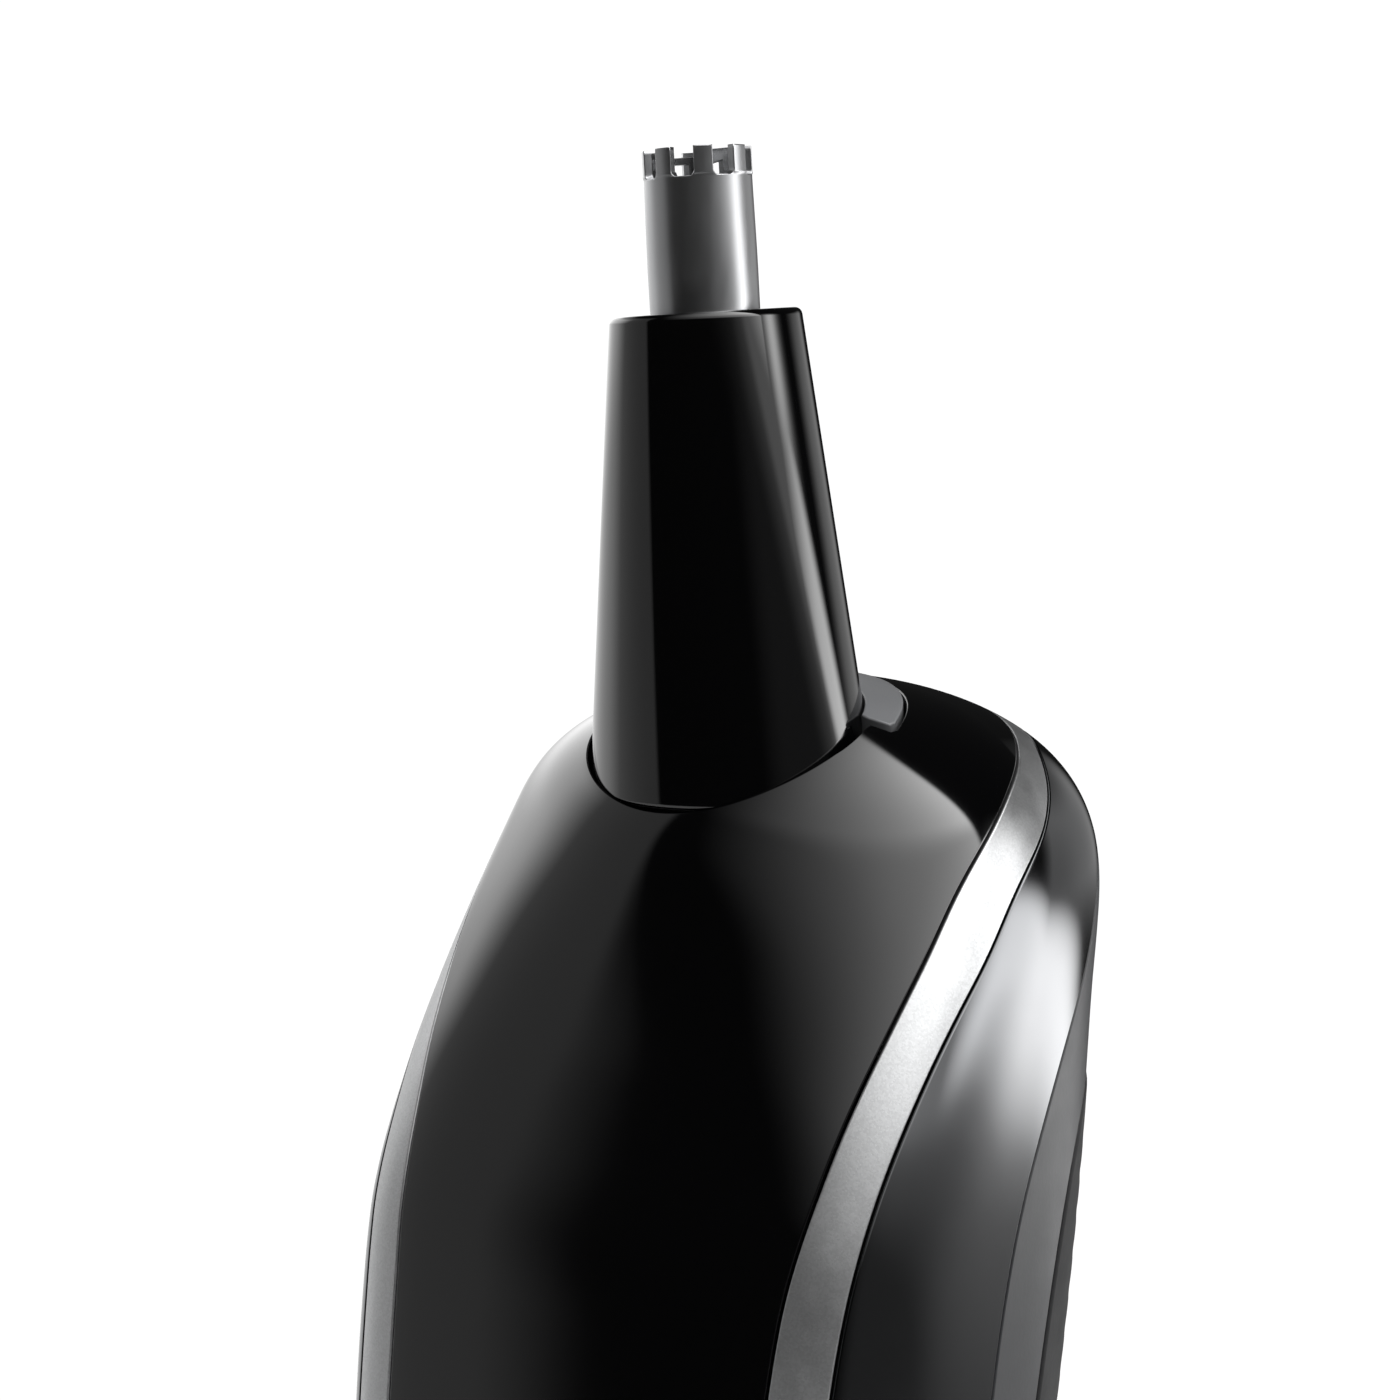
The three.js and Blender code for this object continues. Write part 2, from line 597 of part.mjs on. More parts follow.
place(trimmer, 'case_screw_upper', 'steel', caseScrew(CASE_SCREW_HEIGHTS[1]));

place(leaning, 'neck_seat', 'white_plastic', neckSeat());
place(leaning, 'neck_seal', 'rubber', solid(pipe(5, 5.9, -35, -34.5)));
place(leaning, 'head_catch_left', 'steel', solid(box([-8.5, -1.8, -38], [-8, 1.8, -31.4])));
place(leaning, 'head_catch_right', 'steel', solid(box([8, -1.8, -38], [8.5, 1.8, -31.4])));
place(leaning, 'motor_can', 'steel', motorCan());
place(leaning, 'motor_mount', 'white_plastic', motorMount());
place(leaning, 'motor_ring', 'rubber', solid(pipe(8.3, 9.6, -56, -52)));
place(leaning, 'motor_end_cap', 'white_plastic', solid(rod(7.4, -66, -64.3, 28)));
place(leaning, 'motor_screw_left', 'steel', motorScrew(-1));
place(leaning, 'motor_screw_right', 'steel', motorScrew(1));
const [terminalLeft, terminalRight] = motorTerminals();
place(leaning, 'motor_terminal_left', 'brass', terminalLeft);
place(leaning, 'motor_terminal_right', 'brass', terminalRight);

place(leaning, 'motor_shaft', 'steel', solid(rod(1, -52, -37.3, 16)));
place(leaning, 'eccentric_hub', 'white_plastic', eccentricHub());
place(leaning, 'crank_pin', 'steel', solid(rod(CRANK_R, -34.5, -27.2, 16).translate(CRANK_OFFSET, 0, 0)));

place(leaning, 'cone_shell', 'gloss_black', coneShell());
place(trimmer, 'head_base', 'tab_grey', headBase());
place(leaning, 'guard_tube', 'steel', guardTube());
place(leaning, 'tube_collar', 'white_plastic', solid(pipe(TUBE_R + GAP, 4.6, -5, -2.4, 24)));
place(leaning, 'bearing_bush', 'brass', solid(pipe(1.5, 2.7, -19, -15, 20)));
place(leaning, 'cutter_blade', 'blade_steel', cutterBlade());
place(leaning, 'cutter_shaft', 'white_plastic', solid(rod(1.2, -23.6, 7.2, 16)));
place(leaning, 'thrust_washer', 'brass', solid(pipe(1.5, 2.6, -19.9, -19.3, 20)));
place(leaning, 'cutter_spring', 'steel', cutterSpring());
place(leaning, 'drive_fork', 'white_plastic', driveFork());

export default trimmer;
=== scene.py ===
"""Nose hair trimmer: moulded shells, finishes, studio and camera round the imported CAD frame.

Shapes are worked out in millimetres in the row frame: +Z up the handle, front face towards -Y.
"""
import json
import math
import bpy
import numpy as np
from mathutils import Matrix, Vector


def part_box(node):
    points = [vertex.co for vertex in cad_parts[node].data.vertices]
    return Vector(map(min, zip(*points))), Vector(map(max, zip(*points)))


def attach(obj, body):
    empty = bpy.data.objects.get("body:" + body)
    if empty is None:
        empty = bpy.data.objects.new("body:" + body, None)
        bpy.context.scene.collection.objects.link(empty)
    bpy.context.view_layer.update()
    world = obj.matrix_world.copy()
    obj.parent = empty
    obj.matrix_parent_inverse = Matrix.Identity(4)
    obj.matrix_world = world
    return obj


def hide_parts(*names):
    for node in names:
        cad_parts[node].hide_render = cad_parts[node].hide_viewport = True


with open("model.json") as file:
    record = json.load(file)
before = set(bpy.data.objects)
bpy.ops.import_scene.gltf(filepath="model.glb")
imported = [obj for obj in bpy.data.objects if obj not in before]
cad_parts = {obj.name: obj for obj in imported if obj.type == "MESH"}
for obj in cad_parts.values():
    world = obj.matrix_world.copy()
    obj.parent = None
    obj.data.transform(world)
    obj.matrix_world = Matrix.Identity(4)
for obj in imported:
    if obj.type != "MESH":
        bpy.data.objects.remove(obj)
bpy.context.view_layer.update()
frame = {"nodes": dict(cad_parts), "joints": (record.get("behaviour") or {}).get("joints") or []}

MM = 0.001
JOINTS = {joint["name"]: joint for joint in frame["joints"]}
TAU = 2 * math.pi

# ---------------------------------------------------------------- sizes taken from the frame
BODY_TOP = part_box("front_panel")[1].z / MM
BASE_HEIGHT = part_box("bottom_cap")[1].z / MM
HEAD_ORIGIN = np.array(JOINTS["cutter_spin"]["pos_m"]) / MM
HEAD_UP = np.array(JOINTS["cutter_spin"]["axis"])
HEAD_BACK = np.array([0, HEAD_UP[2], -HEAD_UP[1]])

# ---------------------------------------------------------------- driving dimensions
DOME_HEIGHT = 19.0       # height over which the shoulder curves in
DOME_POWER = 3.6         # how gently it starts to do so
DOME_RUN = 34.0          # length of that curve, used to space its rings
DOME_Y = 7.5             # front-back place of the handle's highest point
REAR_POWER = 3.45        # squareness of the section behind its widest line
FRONT_POWER = 2.0        # squareness of the section in front of it, at the shoulder
FRONT_SQUARING = 3.9     # how much squarer it is in the grip
SHOULDER_Z = 130         # the front is round above this height
SQUARED_OVER = 32        # height over which it becomes square below that
BACK_REACH = 12          # points further than this behind a seam always lie on its far side
WALL = 2.2
SEAM = 0.16              # open line between two shells
EDGE = 0.14              # rounding of a shell's edge
SOFTEN = 2.6             # how far up and down the handle its shading is averaged
LEFT_SEAM_SHIFT = 0.055  # how much further in the seams lie on the left of the face
CONE_TOP_R = 6.1
CONE_BASE_R = 9.9
CONE_LENGTH = 30.6
CONE_SQUASH = 0.17       # how much shallower than wide the cone is at its base
TUBE_R = 3.5
TUBE_WALL = 0.5
TUBE_TOP = 10.05
TUBE_EDGE = 0.07
SLOT_FLOOR = 8.28
SLOT_WIDTH = 1.5
SLOT_COUNT = 8
SLOT_TURN = math.radians(19.7)
ROTOR_TURN = math.radians(24)  # how far round from +X the rotor stands at rest
OPENING = (9.97, 8.34, 0.1)    # half width, half depth and shift back of the hole round the cone
TAB_OUTER_R = 11.5
TAB_START = math.radians(10)   # the tab's front edge, round from +X
TAB_RAISE = 0.25               # how far it stands above the shoulder
TAB_SKIRT = 8.0                # how far down it reaches
CONE_GAP = 0.08                # open line between it and the cone
SWITCH_Z = 71.0
RING_SIZE = (7.4, 14.6)        # half width and half height
RING_WIDTH = 1.0
RING_EDGE = 0.12
BUTTON_Z = 67.65
BUTTON_HALF = (4.4, 8.75)
BUTTON_EDGE = 0.5
RIB_PITCH = 2.5
RIB_SHIFT = 0.1
LAMP_Z = 50.0
LAMP_R = 1.1
GRIP_PITCH = 2.6
GRIP_RIB = 0.32
CAP_FLAT = 16.3                # from the base's centre out to its rounded edge
CAP_ROUND = 0.9
SOCKET_Y = 6.8
ROOM_LIGHT = 0.012             # light from the directions with no panel


# ---------------------------------------------------------------- small maths

def smooth(t):
    u = np.clip(t, 0, 1)
    return u * u * (3 - 2 * u)


def unit(v):
    return v / np.maximum(np.linalg.norm(v, axis=-1, keepdims=True), 1e-12)


def profile(*points):
    """Smooth curve through [place, value] pairs that never overshoots between them."""
    at, value = np.array(points, float).T
    span = np.diff(at)
    slope = np.diff(value) / span
    tangent = np.concatenate([slope[:1], np.zeros(len(at) - 2), slope[-1:]])
    for i in range(1, len(at) - 1):
        if slope[i - 1] * slope[i] > 0:
            w1 = 2 * span[i] + span[i - 1]
            w2 = span[i] + 2 * span[i - 1]
            tangent[i] = (w1 + w2) / (w1 / slope[i - 1] + w2 / slope[i])

    def curve(place):
        p = np.clip(place, at[0], at[-1])
        i = np.clip(np.searchsorted(at, p, side="right") - 1, 0, len(span) - 1)
        t = (p - at[i]) / span[i]
        u = 1 - t
        return (value[i] * (1 + 2 * t) * u * u + tangent[i] * span[i] * t * u * u
                + value[i + 1] * t * t * (3 - 2 * t) - tangent[i + 1] * span[i] * t * t * u)
    return curve


def smooth_run(points, steps=24):
    """Catmull-Rom curve through a few outline points."""
    p = np.array(points, float)
    p = np.concatenate([p[:1], p, p[-1:]])
    t = np.linspace(0, 1, steps, endpoint=False)[:, None]
    spans = [0.5 * (2 * b + (c - a) * t + (2 * a - 5 * b + 4 * c - d) * t ** 2
                    + (3 * b - a - 3 * c + d) * t ** 3)
             for a, b, c, d in zip(p, p[1:], p[2:], p[3:])]
    return np.concatenate(spans + [p[-1:]])


def rounded(outline, radii, steps=5):
    """Closed outline with each corner turned into an arc of its own radius."""
    p = np.array(outline, float)
    radii = np.broadcast_to(radii, len(p))
    made = []
    for i, corner in enumerate(p):
        back, ahead = unit(p[i - 1] - corner), unit(p[(i + 1) % len(p)] - corner)
        half = math.acos(np.clip(back @ ahead, -1, 1)) / 2
        if radii[i] <= 0 or half > 1.55:
            made.append(corner)
            continue
        centre = corner + unit(back + ahead) * radii[i] / math.sin(half)
        start = corner + back * radii[i] / math.tan(half)
        end = corner + ahead * radii[i] / math.tan(half)
        turn = math.pi - 2 * half
        for k in range(steps + 1):
            w = k / steps
            arm = math.sin((1 - w) * turn) * (start - centre) + math.sin(w * turn) * (end - centre)
            made.append(centre + arm / math.sin(turn))
    return np.array(made)


def on_axis(points):
    """From the head's leaning frame into the row frame."""
    p = np.asarray(points, float)
    return HEAD_ORIGIN + p[..., :1] * [1, 0, 0] + p[..., 1:2] * HEAD_BACK + p[..., 2:] * HEAD_UP


def off_axis(points):
    """From the row frame into the head's leaning frame."""
    q = np.asarray(points, float) - HEAD_ORIGIN
    return np.stack([q[..., 0], q @ HEAD_BACK, q @ HEAD_UP], -1)


# ---------------------------------------------------------------- outer form of the handle

FRONT = profile([0, -15.2], [30, -16.6], [60, -18.6], [85, -19.3], [102, -18.7], [112, -16.7],
                [121, -14.7], [131, -13.5], [140, -12.4])
REAR = profile([0, 14], [40, 14.6], [80, 16], [105, 17], [125, 17], [140, 17.6])
HALF_WIDTH = profile([0, 17.2], [35, 17], [70, 19.2], [95, 20.6], [112, 21], [140, 20.7])
WIDEST = profile([0, -0.6], [60, -1], [118, -0.4], [132, 2.1], [140, 2.1])


def section(height, scale):
    """Front, rear, widest line, half width and front squareness of the handle at a height."""
    front = DOME_Y - (DOME_Y - FRONT(height)) * scale
    rear = DOME_Y + (REAR(height) - DOME_Y) * scale
    middle = DOME_Y - (DOME_Y - WIDEST(height)) * scale
    front_power = FRONT_POWER + FRONT_SQUARING * smooth((SHOULDER_Z - height) / SQUARED_OVER)
    return front, rear, middle, HALF_WIDTH(height) * scale, front_power


def dome_scale(height):
    rise = np.clip((height - BODY_TOP + DOME_HEIGHT) / DOME_HEIGHT, 0, 1)
    return np.sqrt(np.maximum(1 - rise ** DOME_POWER, 1e-10))


def handle_surface(angle, run):
    """Point of the outside: angle round the section from +X towards +Y, run up the side from the base."""
    wall = BODY_TOP - DOME_HEIGHT
    lift = np.clip((run - wall) / DOME_RUN, 0, 1) ** (DOME_POWER / 2) * math.pi / 2
    height = np.where(run < wall, run, wall + DOME_HEIGHT * np.sin(lift) ** (2 / DOME_POWER))
    front, rear, middle, width, front_power = section(height, np.maximum(np.cos(lift), 1e-5))
    c, s = np.cos(angle), np.sin(angle)
    power = np.where(s < 0, front_power, REAR_POWER)
    depth = np.where(s < 0, middle - front, rear - middle)
    reach = ((np.abs(c) / width) ** power + (np.abs(s) / depth) ** power) ** (-1 / power)
    return np.stack([reach * c, middle + reach * s, height + 0 * c], -1)


def handle_place(points):
    """Angle and run of points that lie on the outside."""
    height = points[..., 2]
    wall = BODY_TOP - DOME_HEIGHT
    rise = np.clip((height - wall) / DOME_HEIGHT, 0, 1)
    middle = section(height, dome_scale(height))[2]
    lift = np.arcsin(rise ** (DOME_POWER / 2)) / (math.pi / 2)
    run = np.where(height < wall, height, wall + DOME_RUN * lift ** (2 / DOME_POWER))
    return np.arctan2(points[..., 1] - middle, points[..., 0]), run


def normals(surface, u, v, step_u=2e-3, step_v=2e-2):
    across = surface(u + step_u, v) - surface(u - step_u, v)
    along = surface(u, v + step_v) - surface(u, v - step_v)
    n = np.cross(across, along)
    flat = np.linalg.norm(n, axis=-1, keepdims=True) < 1e-9
    return unit(np.where(flat, [0, 0, 1], n))


# ---------------------------------------------------------------- parting lines on the handle

class PartingLine:
    """A seam that runs up the right side and over the top, mirrored on the left."""

    def __init__(self, side, face=None):
        y, z = smooth_run(side).T
        front, rear, middle, width, front_power = section(z, dome_scale(z))
        ahead = y < middle
        power = np.where(ahead, front_power, REAR_POWER)
        depth = np.where(ahead, middle - front, rear - middle)
        inside = 1 - (np.abs(y - middle) / depth) ** power
        keep = inside > 0
        line = np.stack([width * np.maximum(inside, 0) ** (1 / power), y, z], -1)[keep]
        if not keep[0]:
            line = self._closed(line[::-1])[::-1]
        if face is not None:
            x, z = smooth_run(face).T
            front, _, middle, width, power = section(z, 1)
            y = middle - (middle - front) * (1 - (x / width) ** power) ** (1 / power)
            line = np.concatenate([np.stack([x, y, z], -1)[:-6], line[3:]])
        self.points = self._evened(self._closed(line))
        angle, run = handle_place(self.points)
        self.normal = normals(handle_surface, angle, run)
        self.tangent = unit(np.gradient(self.points, axis=0))
        self.side = unit(np.cross(self.normal, self.tangent))

    @staticmethod
    def _closed(line):
        """Ends the line on the centre plane, square to it."""
        last, before = line[-1], line[-2]
        if last[0] > 1e-3:
            share = last[0] / max(before[0] - last[0], 1e-6)
            end = last + (last - before) * min(share, 3)
            line = np.concatenate([line, [[0, end[1], end[2]]]])
        return line

    @staticmethod
    def _evened(line, spacing=0.25):
        """The same line with even spacing, its joins eased."""
        for _ in range(2):
            mirrored = line[-2::-1] * [-1, 1, 1]
            whole = np.concatenate([line, mirrored])
            length = np.concatenate([[0], np.cumsum(np.linalg.norm(np.diff(whole, axis=0), axis=1))])
            even = np.linspace(0, length[-1] / 2, int(length[-1] / 2 / spacing))
            line = np.stack([np.interp(even, length, whole[:, k]) for k in range(3)], -1)
            padded = np.concatenate([2 * line[:1] - line[12:0:-1], line, (line[-2:-14:-1]) * [-1, 1, 1]])
            line = np.stack([np.convolve(padded[:, k], np.hanning(27)[1:-1] / np.hanning(27).sum(), "valid")
                             for k in range(3)], -1)
        low = line[0] + (line[0] - line[1]) / spacing * np.arange(20, 0, -1)[:, None]
        return np.concatenate([low, line])

    def ahead(self, points):
        """Signed distance of points from the seam along the surface, positive towards the front."""
        x, y, z = points.reshape(-1, 3).T
        flat = np.stack([np.where(x < 0, -x * (1 + LEFT_SEAM_SHIFT), x), y, z], -1)
        found = np.empty(len(flat))
        size = (self.points ** 2).sum(1)
        for start in range(0, len(flat), 8192):
            part = flat[start:start + 8192]
            near = np.argmin(size - 2 * part @ self.points.T, axis=1)
            away = ((part - self.points[near]) * self.side[near]).sum(1)
            behind = part[:, 1] - self.points[near, 1] > BACK_REACH
            found[start:start + 8192] = np.where(behind, -np.abs(away), away)
        return found.reshape(points.shape[:-1])


TRIM_FRONT = PartingLine(
    side=[(-12.2, 118), (-10.6, 120.6), (-9, 122.9), (-5.65, 127.7), (-1, 132.5), (3.1, 134.9), (7.8, 137),
          (11.3, 138.7), (14, 140)],
    face=[(12.3, 0), (12.2, 30), (13.4, 60), (14.4, 90), (15.05, 102.6), (15.85, 109.35), (16.5, 113.8),
          (17.2, 118)])
TRIM_REAR = PartingLine(
    side=[(-9.4, 118), (-7.3, 120.7), (-5.3, 123), (-1.7, 127.7), (3.8, 132.5), (7.25, 135.4), (10.5, 136.7),
          (13.6, 137.4), (19, 138.2)],
    face=[(15, 0), (14.9, 30), (16.5, 60), (17.8, 90), (18.4, 103), (18.8, 109.6), (19.2, 113.8),
          (19.6, 118)])
COVER = PartingLine(
    side=[(-1, 0), (-1.5, 60), (-2, 80), (-1.85, 96), (-1.2, 103), (0, 107.8), (2.1, 112.5), (4.7, 117.3),
          (7.75, 122.2), (9.3, 127), (12.5, 131), (22, 133.8)])
GRIP = PartingLine(
    side=[(24, 20.6), (12, 21.6), (6, 25), (3.6, 32), (3.4, 50), (4, 80), (4.7, 94), (6, 104.2), (8.1, 110.7),
          (12, 114.8), (24, 117.5)])


# ---------------------------------------------------------------- trimmed shells

def root_on(field, ua, va, ub, vb, wrap):
    """Share of the way from a to b where the field changes sign."""
    du = (ub - ua + math.pi) % TAU - math.pi if wrap else ub - ua
    dv = vb - va
    low, high = np.zeros(len(ua)), np.ones(len(ua))
    sign = np.sign(field(ua, va))
    for _ in range(14):
        t = (low + high) / 2
        same = np.sign(field(ua + t * du, va + t * dv)) == sign
        low, high = np.where(same, t, low), np.where(same, high, t)
    t = (low + high) / 2
    return t, ua + t * du, va + t * dv


class Grid:
    """The part of a surface where a region function is positive, as points, normals and faces."""

    def __init__(self, surface, us, vs, region, wrap=False, pole=None, soften=2e-2):
        self.count = (len(us), len(vs))
        self.wrap = wrap
        u, v = (a.copy() for a in np.meshgrid(us, vs, indexing="ij"))
        self.u, self.v = u.ravel(), v.ravel()
        self.field = lambda a, b: region(surface(a, b))
        self.value = self.field(self.u, self.v)
        self._slide()
        a, b = self._edges()
        crossing = self.value[a] * self.value[b] < 0
        a, b = a[crossing], b[crossing]
        _, new_u, new_v = root_on(self.field, self.u[a], self.v[a], self.u[b], self.v[b], wrap)
        first = len(self.u)
        self.cut = {(p, q): first + k for k, (p, q) in enumerate(zip(a.tolist(), b.tolist()))}
        all_u, all_v = np.concatenate([self.u, new_u]), np.concatenate([self.v, new_v])
        faces = self._cells(pole)
        used = sorted({p for face in faces for p in face})
        number = {p: k for k, p in enumerate(used)}
        self.faces = [[number[p] for p in face] for face in faces]
        self.points = surface(all_u[used], all_v[used])
        self.normals = normals(surface, all_u[used], all_v[used], step_v=soften)

    def _edges(self):
        nu, nv = self.count
        ids = np.arange(nu * nv).reshape(nu, nv)
        beside = np.roll(ids, -1, axis=0) if self.wrap else ids[1:]
        a = np.concatenate([(ids if self.wrap else ids[:-1]).ravel(), ids[:, :-1].ravel()])
        b = np.concatenate([beside.ravel(), ids[:, 1:].ravel()])
        return a, b

    def _slide(self):
        """Moves grid points that are close to the cut onto it, so that no sliver is left there."""
        nv = self.count[1]
        a, b = self._edges()
        crossing = self.value[a] * self.value[b] < 0
        a, b = a[crossing], b[crossing]
        t, u, v = root_on(self.field, self.u[a], self.v[a], self.u[b], self.v[b], self.wrap)
        near = np.where(t < 0.5, a, b)
        share = np.minimum(t, 1 - t)
        rim = (near % nv == 0) | (near % nv == nv - 1)
        upright = a // nv == b // nv
        if not self.wrap:
            rim_u = (near // nv == 0) | (near // nv == self.count[0] - 1)
            rim = (rim & upright) | (rim_u & ~upright)
        else:
            rim = rim & upright
        fit = (share < 0.36) & ~rim
        order = np.argsort(-share[fit])
        chosen = near[fit][order]
        self.u[chosen] = u[fit][order]
        self.v[chosen] = v[fit][order]
        self.value[chosen] = 0

    def _cells(self, pole):
        nu, nv = self.count
        faces = []
        value = self.value
        columns = nu if self.wrap else nu - 1
        i, j = (g.ravel() for g in np.meshgrid(np.arange(columns), np.arange(nv - 1), indexing="ij"))
        right = (i + 1) % nu
        corners = np.stack([i * nv + j, right * nv + j, right * nv + j + 1, i * nv + j + 1], -1)
        held = value[corners]
        some = (held > 0).any(1)
        whole = some & (held >= 0).all(1)
        for face in corners[whole].tolist():
            faces.append(face)
        for face in corners[some & ~whole].tolist():
            made = []
            for k, p in enumerate(face):
                q = face[(k + 1) % 4]
                if value[p] >= 0:
                    made.append(p)
                if value[p] * value[q] < 0:
                    made.append(self.cut[(p, q)] if (p, q) in self.cut else self.cut[(q, p)])
            if len(made) > 2:
                faces.append(made)
        if pole is not None:
            row = pole % nv
            merged = ([row if p < nu * nv and p % nv == row else p for p in face] for face in faces)
            faces = [list(dict.fromkeys(face)) for face in merged]
        return [face for face in faces if len(face) > 2]


def rim_loops(faces):
    """Next point along the open rim for each rim point, faces on the left."""
    ahead = {(a, b) for face in faces for a, b in zip(face, face[1:] + face[:1])}
    return {a: b for a, b in ahead if (b, a) not in ahead}


def edge_profile(radius, steps=3):
    """Outward shift, depth and lean of each ring of a rounded edge."""
    angles = [math.pi / 2 * (k + 1) / steps for k in range(steps)]
    return [(radius * math.sin(a), radius * (1 - math.cos(a)), a) for a in angles]


def thickened(grid, thickness, radius, inward=None):
    """Closed body under a trimmed grid, with a rounded edge: points, faces and a normal for each corner."""
    points, face_list, normal = grid.points, grid.faces, grid.normals
    inward = -normal if inward is None else inward(points, normal)
    following = rim_loops(face_list)
    rim = np.array(sorted(following))
    after = np.array([following[p] for p in rim.tolist()])
    place = {p: k for k, p in enumerate(rim.tolist())}
    next_k = np.array([place[p] for p in after.tolist()])
    last_k = np.empty_like(next_k)
    last_k[next_k] = np.arange(len(rim))
    n = normal[rim]
    ahead = unit(points[after] - points[rim])
    out_ahead = unit(np.cross(ahead, n))
    out_behind = out_ahead[last_k]
    cosine = (out_ahead * out_behind).sum(1, keepdims=True)
    miter = (out_ahead + out_behind) / np.maximum(1 + cosine, 0.4)
    outward = unit(miter)
    for _ in range(2):
        eased = unit(outward[last_k] + 2 * outward + outward[next_k])
        outward = np.where(cosine > 0.9, eased, outward)
        miter = np.where(cosine > 0.9, outward, miter)
    rings = [(rim, n)]
    all_points = [points]
    count = len(points)
    for shift, depth, lean in edge_profile(radius) + [(radius, thickness, math.pi / 2)]:
        all_points.append(points[rim] + miter * shift + inward[rim] * depth)
        rings.append((np.arange(count, count + len(rim)), math.cos(lean) * n + math.sin(lean) * outward))
        count += len(rim)
    under = np.arange(len(points)) + count
    all_points.append(points + inward * thickness)
    faces = [list(face) for face in face_list]
    corners = [normal[face] for face in face_list]
    for (upper, upper_n), (lower, lower_n) in zip(rings, rings[1:]):
        for k in range(len(rim)):
            m = next_k[k]
            faces.append([int(upper[m]), int(upper[k]), int(lower[k]), int(lower[m])])
            corners.append(np.stack([upper_n[m], upper_n[k], lower_n[k], lower_n[m]]))
    below = under.copy()
    below[rim] = rings[-1][0]
    for face in face_list:
        turned = face[::-1]
        faces.append(below[turned].tolist())
        corners.append(-normal[turned])
    whole = np.concatenate(all_points)
    used = np.unique(np.concatenate([np.array(face) for face in faces]))
    number = np.zeros(len(whole), int)
    number[used] = np.arange(len(used))
    return whole[used], [number[face].tolist() for face in faces], np.concatenate(corners)


def mesh_object(name, points, faces, corner_normals=None, sharp=None):
    mesh = bpy.data.meshes.new(name)
    mesh.from_pydata((np.asarray(points) * MM).tolist(), [], faces)
    mesh.shade_smooth()
    if corner_normals is not None:
        mesh.normals_split_custom_set(np.asarray(corner_normals, np.float32))
    if sharp is not None:
        mesh.set_sharp_from_angle(angle=math.radians(sharp))
    piece = bpy.data.objects.new(name, mesh)
    bpy.context.scene.collection.objects.link(piece)
    return piece


def finish_piece(piece, body, finish, slot, *nodes):
    """Gives a piece its finish, parents it to what it moves with and hides the CAD nodes it stands in for."""
    piece.data.materials.append(finish)
    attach(piece, body)
    if nodes:
        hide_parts(*nodes)
    return piece


# ---------------------------------------------------------------- handle shells

ANGLES = np.linspace(-math.pi, math.pi, 220, endpoint=False) + 1e-4
BODY_RUNS = np.concatenate([np.linspace(BASE_HEIGHT + SEAM + EDGE, BODY_TOP - DOME_HEIGHT, 170),
                            BODY_TOP - DOME_HEIGHT + DOME_RUN * np.linspace(0, 1, 61)[1:]])


def opening_distance(points):
    """How far points are outside the hole round the head, in the plane square to its axis."""
    p = off_axis(points)
    x, y = p[..., 0], p[..., 1]
    half_x, half_y, shift = OPENING
    qx, qy = x / half_x, (y - shift) / half_y
    k0 = np.hypot(qx, qy)
    k1 = np.maximum(np.hypot(qx / half_x, qy / half_y), 1e-6)
    oval = k0 * (k0 - 1) / k1
    start = TAB_START - 0.02
    beside = np.sin(start) * np.abs(x) - np.cos(start) * y
    sector = np.maximum(np.hypot(x, y) - TAB_OUTER_R - 0.2, beside)
    return np.minimum(oval, sector)


def oval_distance(points, half_x, half_z, centre_z):
    """Distance outside an oval on the front face; points at the back are far outside."""
    x, z = points[..., 0], points[..., 2] - centre_z
    k0 = np.hypot(x / half_x, z / half_z)
    k1 = np.maximum(np.hypot(x / half_x ** 2, z / half_z ** 2), 1e-6)
    return np.where(points[..., 1] < 0, k0 * (k0 - 1) / k1, 50.0)


def front_region(points):
    ring = oval_distance(points, RING_SIZE[0] + 0.1, RING_SIZE[1] + 0.1, SWITCH_Z)
    lamp = oval_distance(points, LAMP_R + 0.1, LAMP_R + 0.1, LAMP_Z)
    return np.minimum.reduce([TRIM_FRONT.ahead(points) - SEAM / 2 - EDGE, opening_distance(points) - EDGE,
                              ring - EDGE, lamp - EDGE])


def trim_region(points):
    return np.minimum(-TRIM_FRONT.ahead(points), TRIM_REAR.ahead(points)) - SEAM / 2 - EDGE


def side_region(points):
    return np.minimum(-TRIM_REAR.ahead(points), COVER.ahead(points)) - SEAM / 2 - EDGE


def rear_region(points):
    return np.minimum(-COVER.ahead(points) - SEAM / 2, GRIP.ahead(points) - SEAM / 2) - EDGE


def grip_region(points):
    return -GRIP.ahead(points) - SEAM / 2 - 2 * EDGE


def head_inward(points, normal):
    """Walls drop along the head's axis close to the hole round it."""
    near = 1 - smooth((opening_distance(points) - 0.5) / 5)
    return unit(-normal * (1 - near[:, None]) - HEAD_UP * near[:, None])


def handle_shell(name, region, thickness=WALL, edge=EDGE, inward=None, runs=BODY_RUNS):
    grid = Grid(handle_surface, ANGLES, runs, region, wrap=True, pole=-1, soften=SOFTEN)
    return mesh_object(name, *thickened(grid, thickness, edge, inward))


def raised(height):
    """The outside of the handle moved outwards; height is a number or a function of the points there."""
    def surface(angle, run):
        points = handle_surface(angle, run)
        lift = height(points) if callable(height) else height
        return points + normals(handle_surface, angle, run) * np.asarray(lift)[..., None]
    return surface


def patch(name, height, region, thickness, edge, step, low, high, half_angle=0.75):
    """A piece let into the front face between two heights."""
    angles = np.arange(-math.pi / 2 - half_angle, -math.pi / 2 + half_angle, step / 18)
    grid = Grid(raised(height), angles, np.arange(low, high, step), region)
    return mesh_object(name, *thickened(grid, thickness, edge))


# ---------------------------------------------------------------- controls on the front

